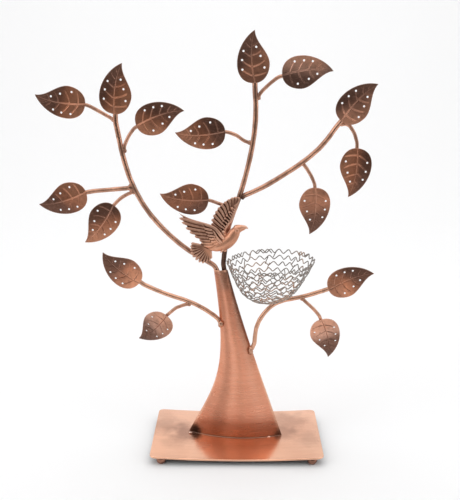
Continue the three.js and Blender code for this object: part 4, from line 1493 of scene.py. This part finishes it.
# %% Nest shape
nest_low, nest_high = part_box("nest")
nest_wall = 0.6
nest_floor = 2.2
nest_radius = (nest_high.x - nest_low.x) / 2 / MM - nest_wall
nest_depth = 42.5
nest_wire = 1.15
nest_rows = 10
nest_pitch = 9.5
wave_height = 3.9
nest_lean = 2.2
nest_rise = 0.035
nest_origin = np.array([(nest_low.x + nest_high.x) / 2 / MM, (nest_low.y + nest_high.y) / 2 / MM,
                        nest_low.z / MM + nest_floor])
nest_profile = [(0, 0), (0.62 * nest_radius, -0.02 * nest_depth), (0.72 * nest_radius, 0.42 * nest_depth),
                (nest_radius - nest_wall, nest_depth)]
profile_points = np.array([bezier(nest_profile, t) for t in np.linspace(0, 1, 200)])
profile_runs = np.concatenate([[0], np.cumsum(np.linalg.norm(np.diff(profile_points, axis=0), axis=1))])


def on_bowl(run, angle, lift=0.0):
    """A point of the bowl: run is the distance up its profile, angle goes round it."""
    radius = np.interp(run, profile_runs, profile_points[:, 0]) + lift
    z = np.interp(run, profile_runs, profile_points[:, 1])
    x = radius * math.cos(angle) - nest_lean * (1 - z / nest_depth)
    return (nest_origin + np.array([x, radius * math.sin(angle), z + nest_rise * x])) * MM

print("wire length up the bowl in mm", round(float(profile_runs[-1]), 1))

# %% [markdown]
# A crimped wire is a zigzag with rounded corners. The arcsine of a sine is a sharp zigzag, and
# pulling the sine in a little rounds its corners.

# %% Crimped hoops
crimp = 0.84


def crimped(angle):
    return math.asin(crimp * math.sin(angle)) / math.asin(crimp)


nest_top_run = profile_runs[-1] - wave_height / 2
row_gap = 6.5
rows = [nest_top_run - row_gap * i for i in range(nest_rows)]
wave_steps = 14
slip_error, lift_error, height_error = 0.10, 0.22, 0.12


def hoop(run, dice, phase):
    """One crimped hoop. Every wave slips, lifts and grows by its own small error."""
    radius = max(np.interp(run, profile_runs, profile_points[:, 0]), 1.5)
    waves = max(4, round(2 * math.pi * radius / nest_pitch))
    slips = [dice.gauss(0, slip_error) for _ in range(waves)]
    lifts = [dice.gauss(0, lift_error) for _ in range(waves)]
    heights = [1 + dice.gauss(0, height_error) for _ in range(waves)]
    line = []
    for i in range(waves * wave_steps):
        at = i / wave_steps
        k = int(at)
        share = at - k
        slip, lift, height = (values[k] * (1 - share) + values[(k + 1) % waves] * share
                              for values in (slips, lifts, heights))
        turn = 2 * math.pi * at + phase + slip * 2 * math.pi
        here = min(run + wave_height / 2 * crimped(turn) * height, profile_runs[-1] - 0.05)
        line.append(on_bowl(here, 2 * math.pi * at / waves, lift))
    return line, waves


print("rows of the nest", len(rows))

# %% [markdown]
# A short twisted link ties every third wave to the row below. At the rim, six short lengths of wire
# run beside the top hoop, where the real one was wound twice.

# %% Nest of wire
lowest_hoop = 4
lowest_link = 3
link_slant = 0.32
link_lift = 0.35
link_points = 9
double_starts = (0.4, 1.5, 2.3, 3.3, 4.4, 5.5)
double_points = 26


def nest_form():
    dice = random.Random(11)
    parts = []
    for run in rows:
        if run < lowest_hoop:
            continue
        phase = dice.uniform(0, 2 * math.pi)
        line, waves = hoop(run, dice, phase)
        wire = nest_wire / 2 * MM * dice.uniform(0.92, 1.08)
        parts.append(curve_mesh("hoop", line, [wire] * len(line), closed=True, sides=3))
        for k in range(0, waves, 3):
            angle = 2 * math.pi * (k + dice.uniform(0.2, 0.8)) / waves
            slant = dice.choice((-1, 1)) * 2 * math.pi * link_slant / waves
            link = [on_bowl(run + 0.4 - (row_gap + 0.8) * t, angle + slant * (t - 0.5),
                            link_lift * math.sin(math.pi * t)) for t in np.linspace(0, 1, link_points)]
            if run - row_gap > lowest_link:
                parts.append(curve_mesh("link", link, [wire * 0.95] * link_points, sides=3))
    for start in double_starts:
        line, _ = hoop(rows[0], random.Random(5), dice.uniform(0, 1.2))
        first = int(start / (2 * math.pi) * len(line))
        length = [line[(first + k) % len(line)] for k in range(double_points)]
        parts.append(curve_mesh("double", length, [nest_wire / 2 * MM] * double_points, sides=3))
    bm = bmesh.new()
    for mesh in parts:
        bm.from_mesh(mesh)
        bpy.data.meshes.remove(mesh)
    return to_mesh(bm, "nest_wires")


def nest_finish():
    f = Finish("nest_wire", (0.30, 0.275, 0.255), 0.24)
    wash = f.group(antique_wash, Patch_Scale=46, Cover=0.42, Softness=0.16)
    f.tint(f.shaped(wash["Mask"], 0, 1, 0, 0.75), (0.52, 0.345, 0.25))
    f.tint(f.shaped(wash["Mottle"], 0.5, 0.75, 0, 0.5), (0.10, 0.085, 0.075))
    f.roughen(wash["Mottle"], 0.12)
    f.raise_by(wash["Mottle"], 0.04)
    return f.done()


nest = piece("nest_wires", nest_form(), nest_finish(), "nest", "nest")
print("nest triangles", triangles(nest.data))
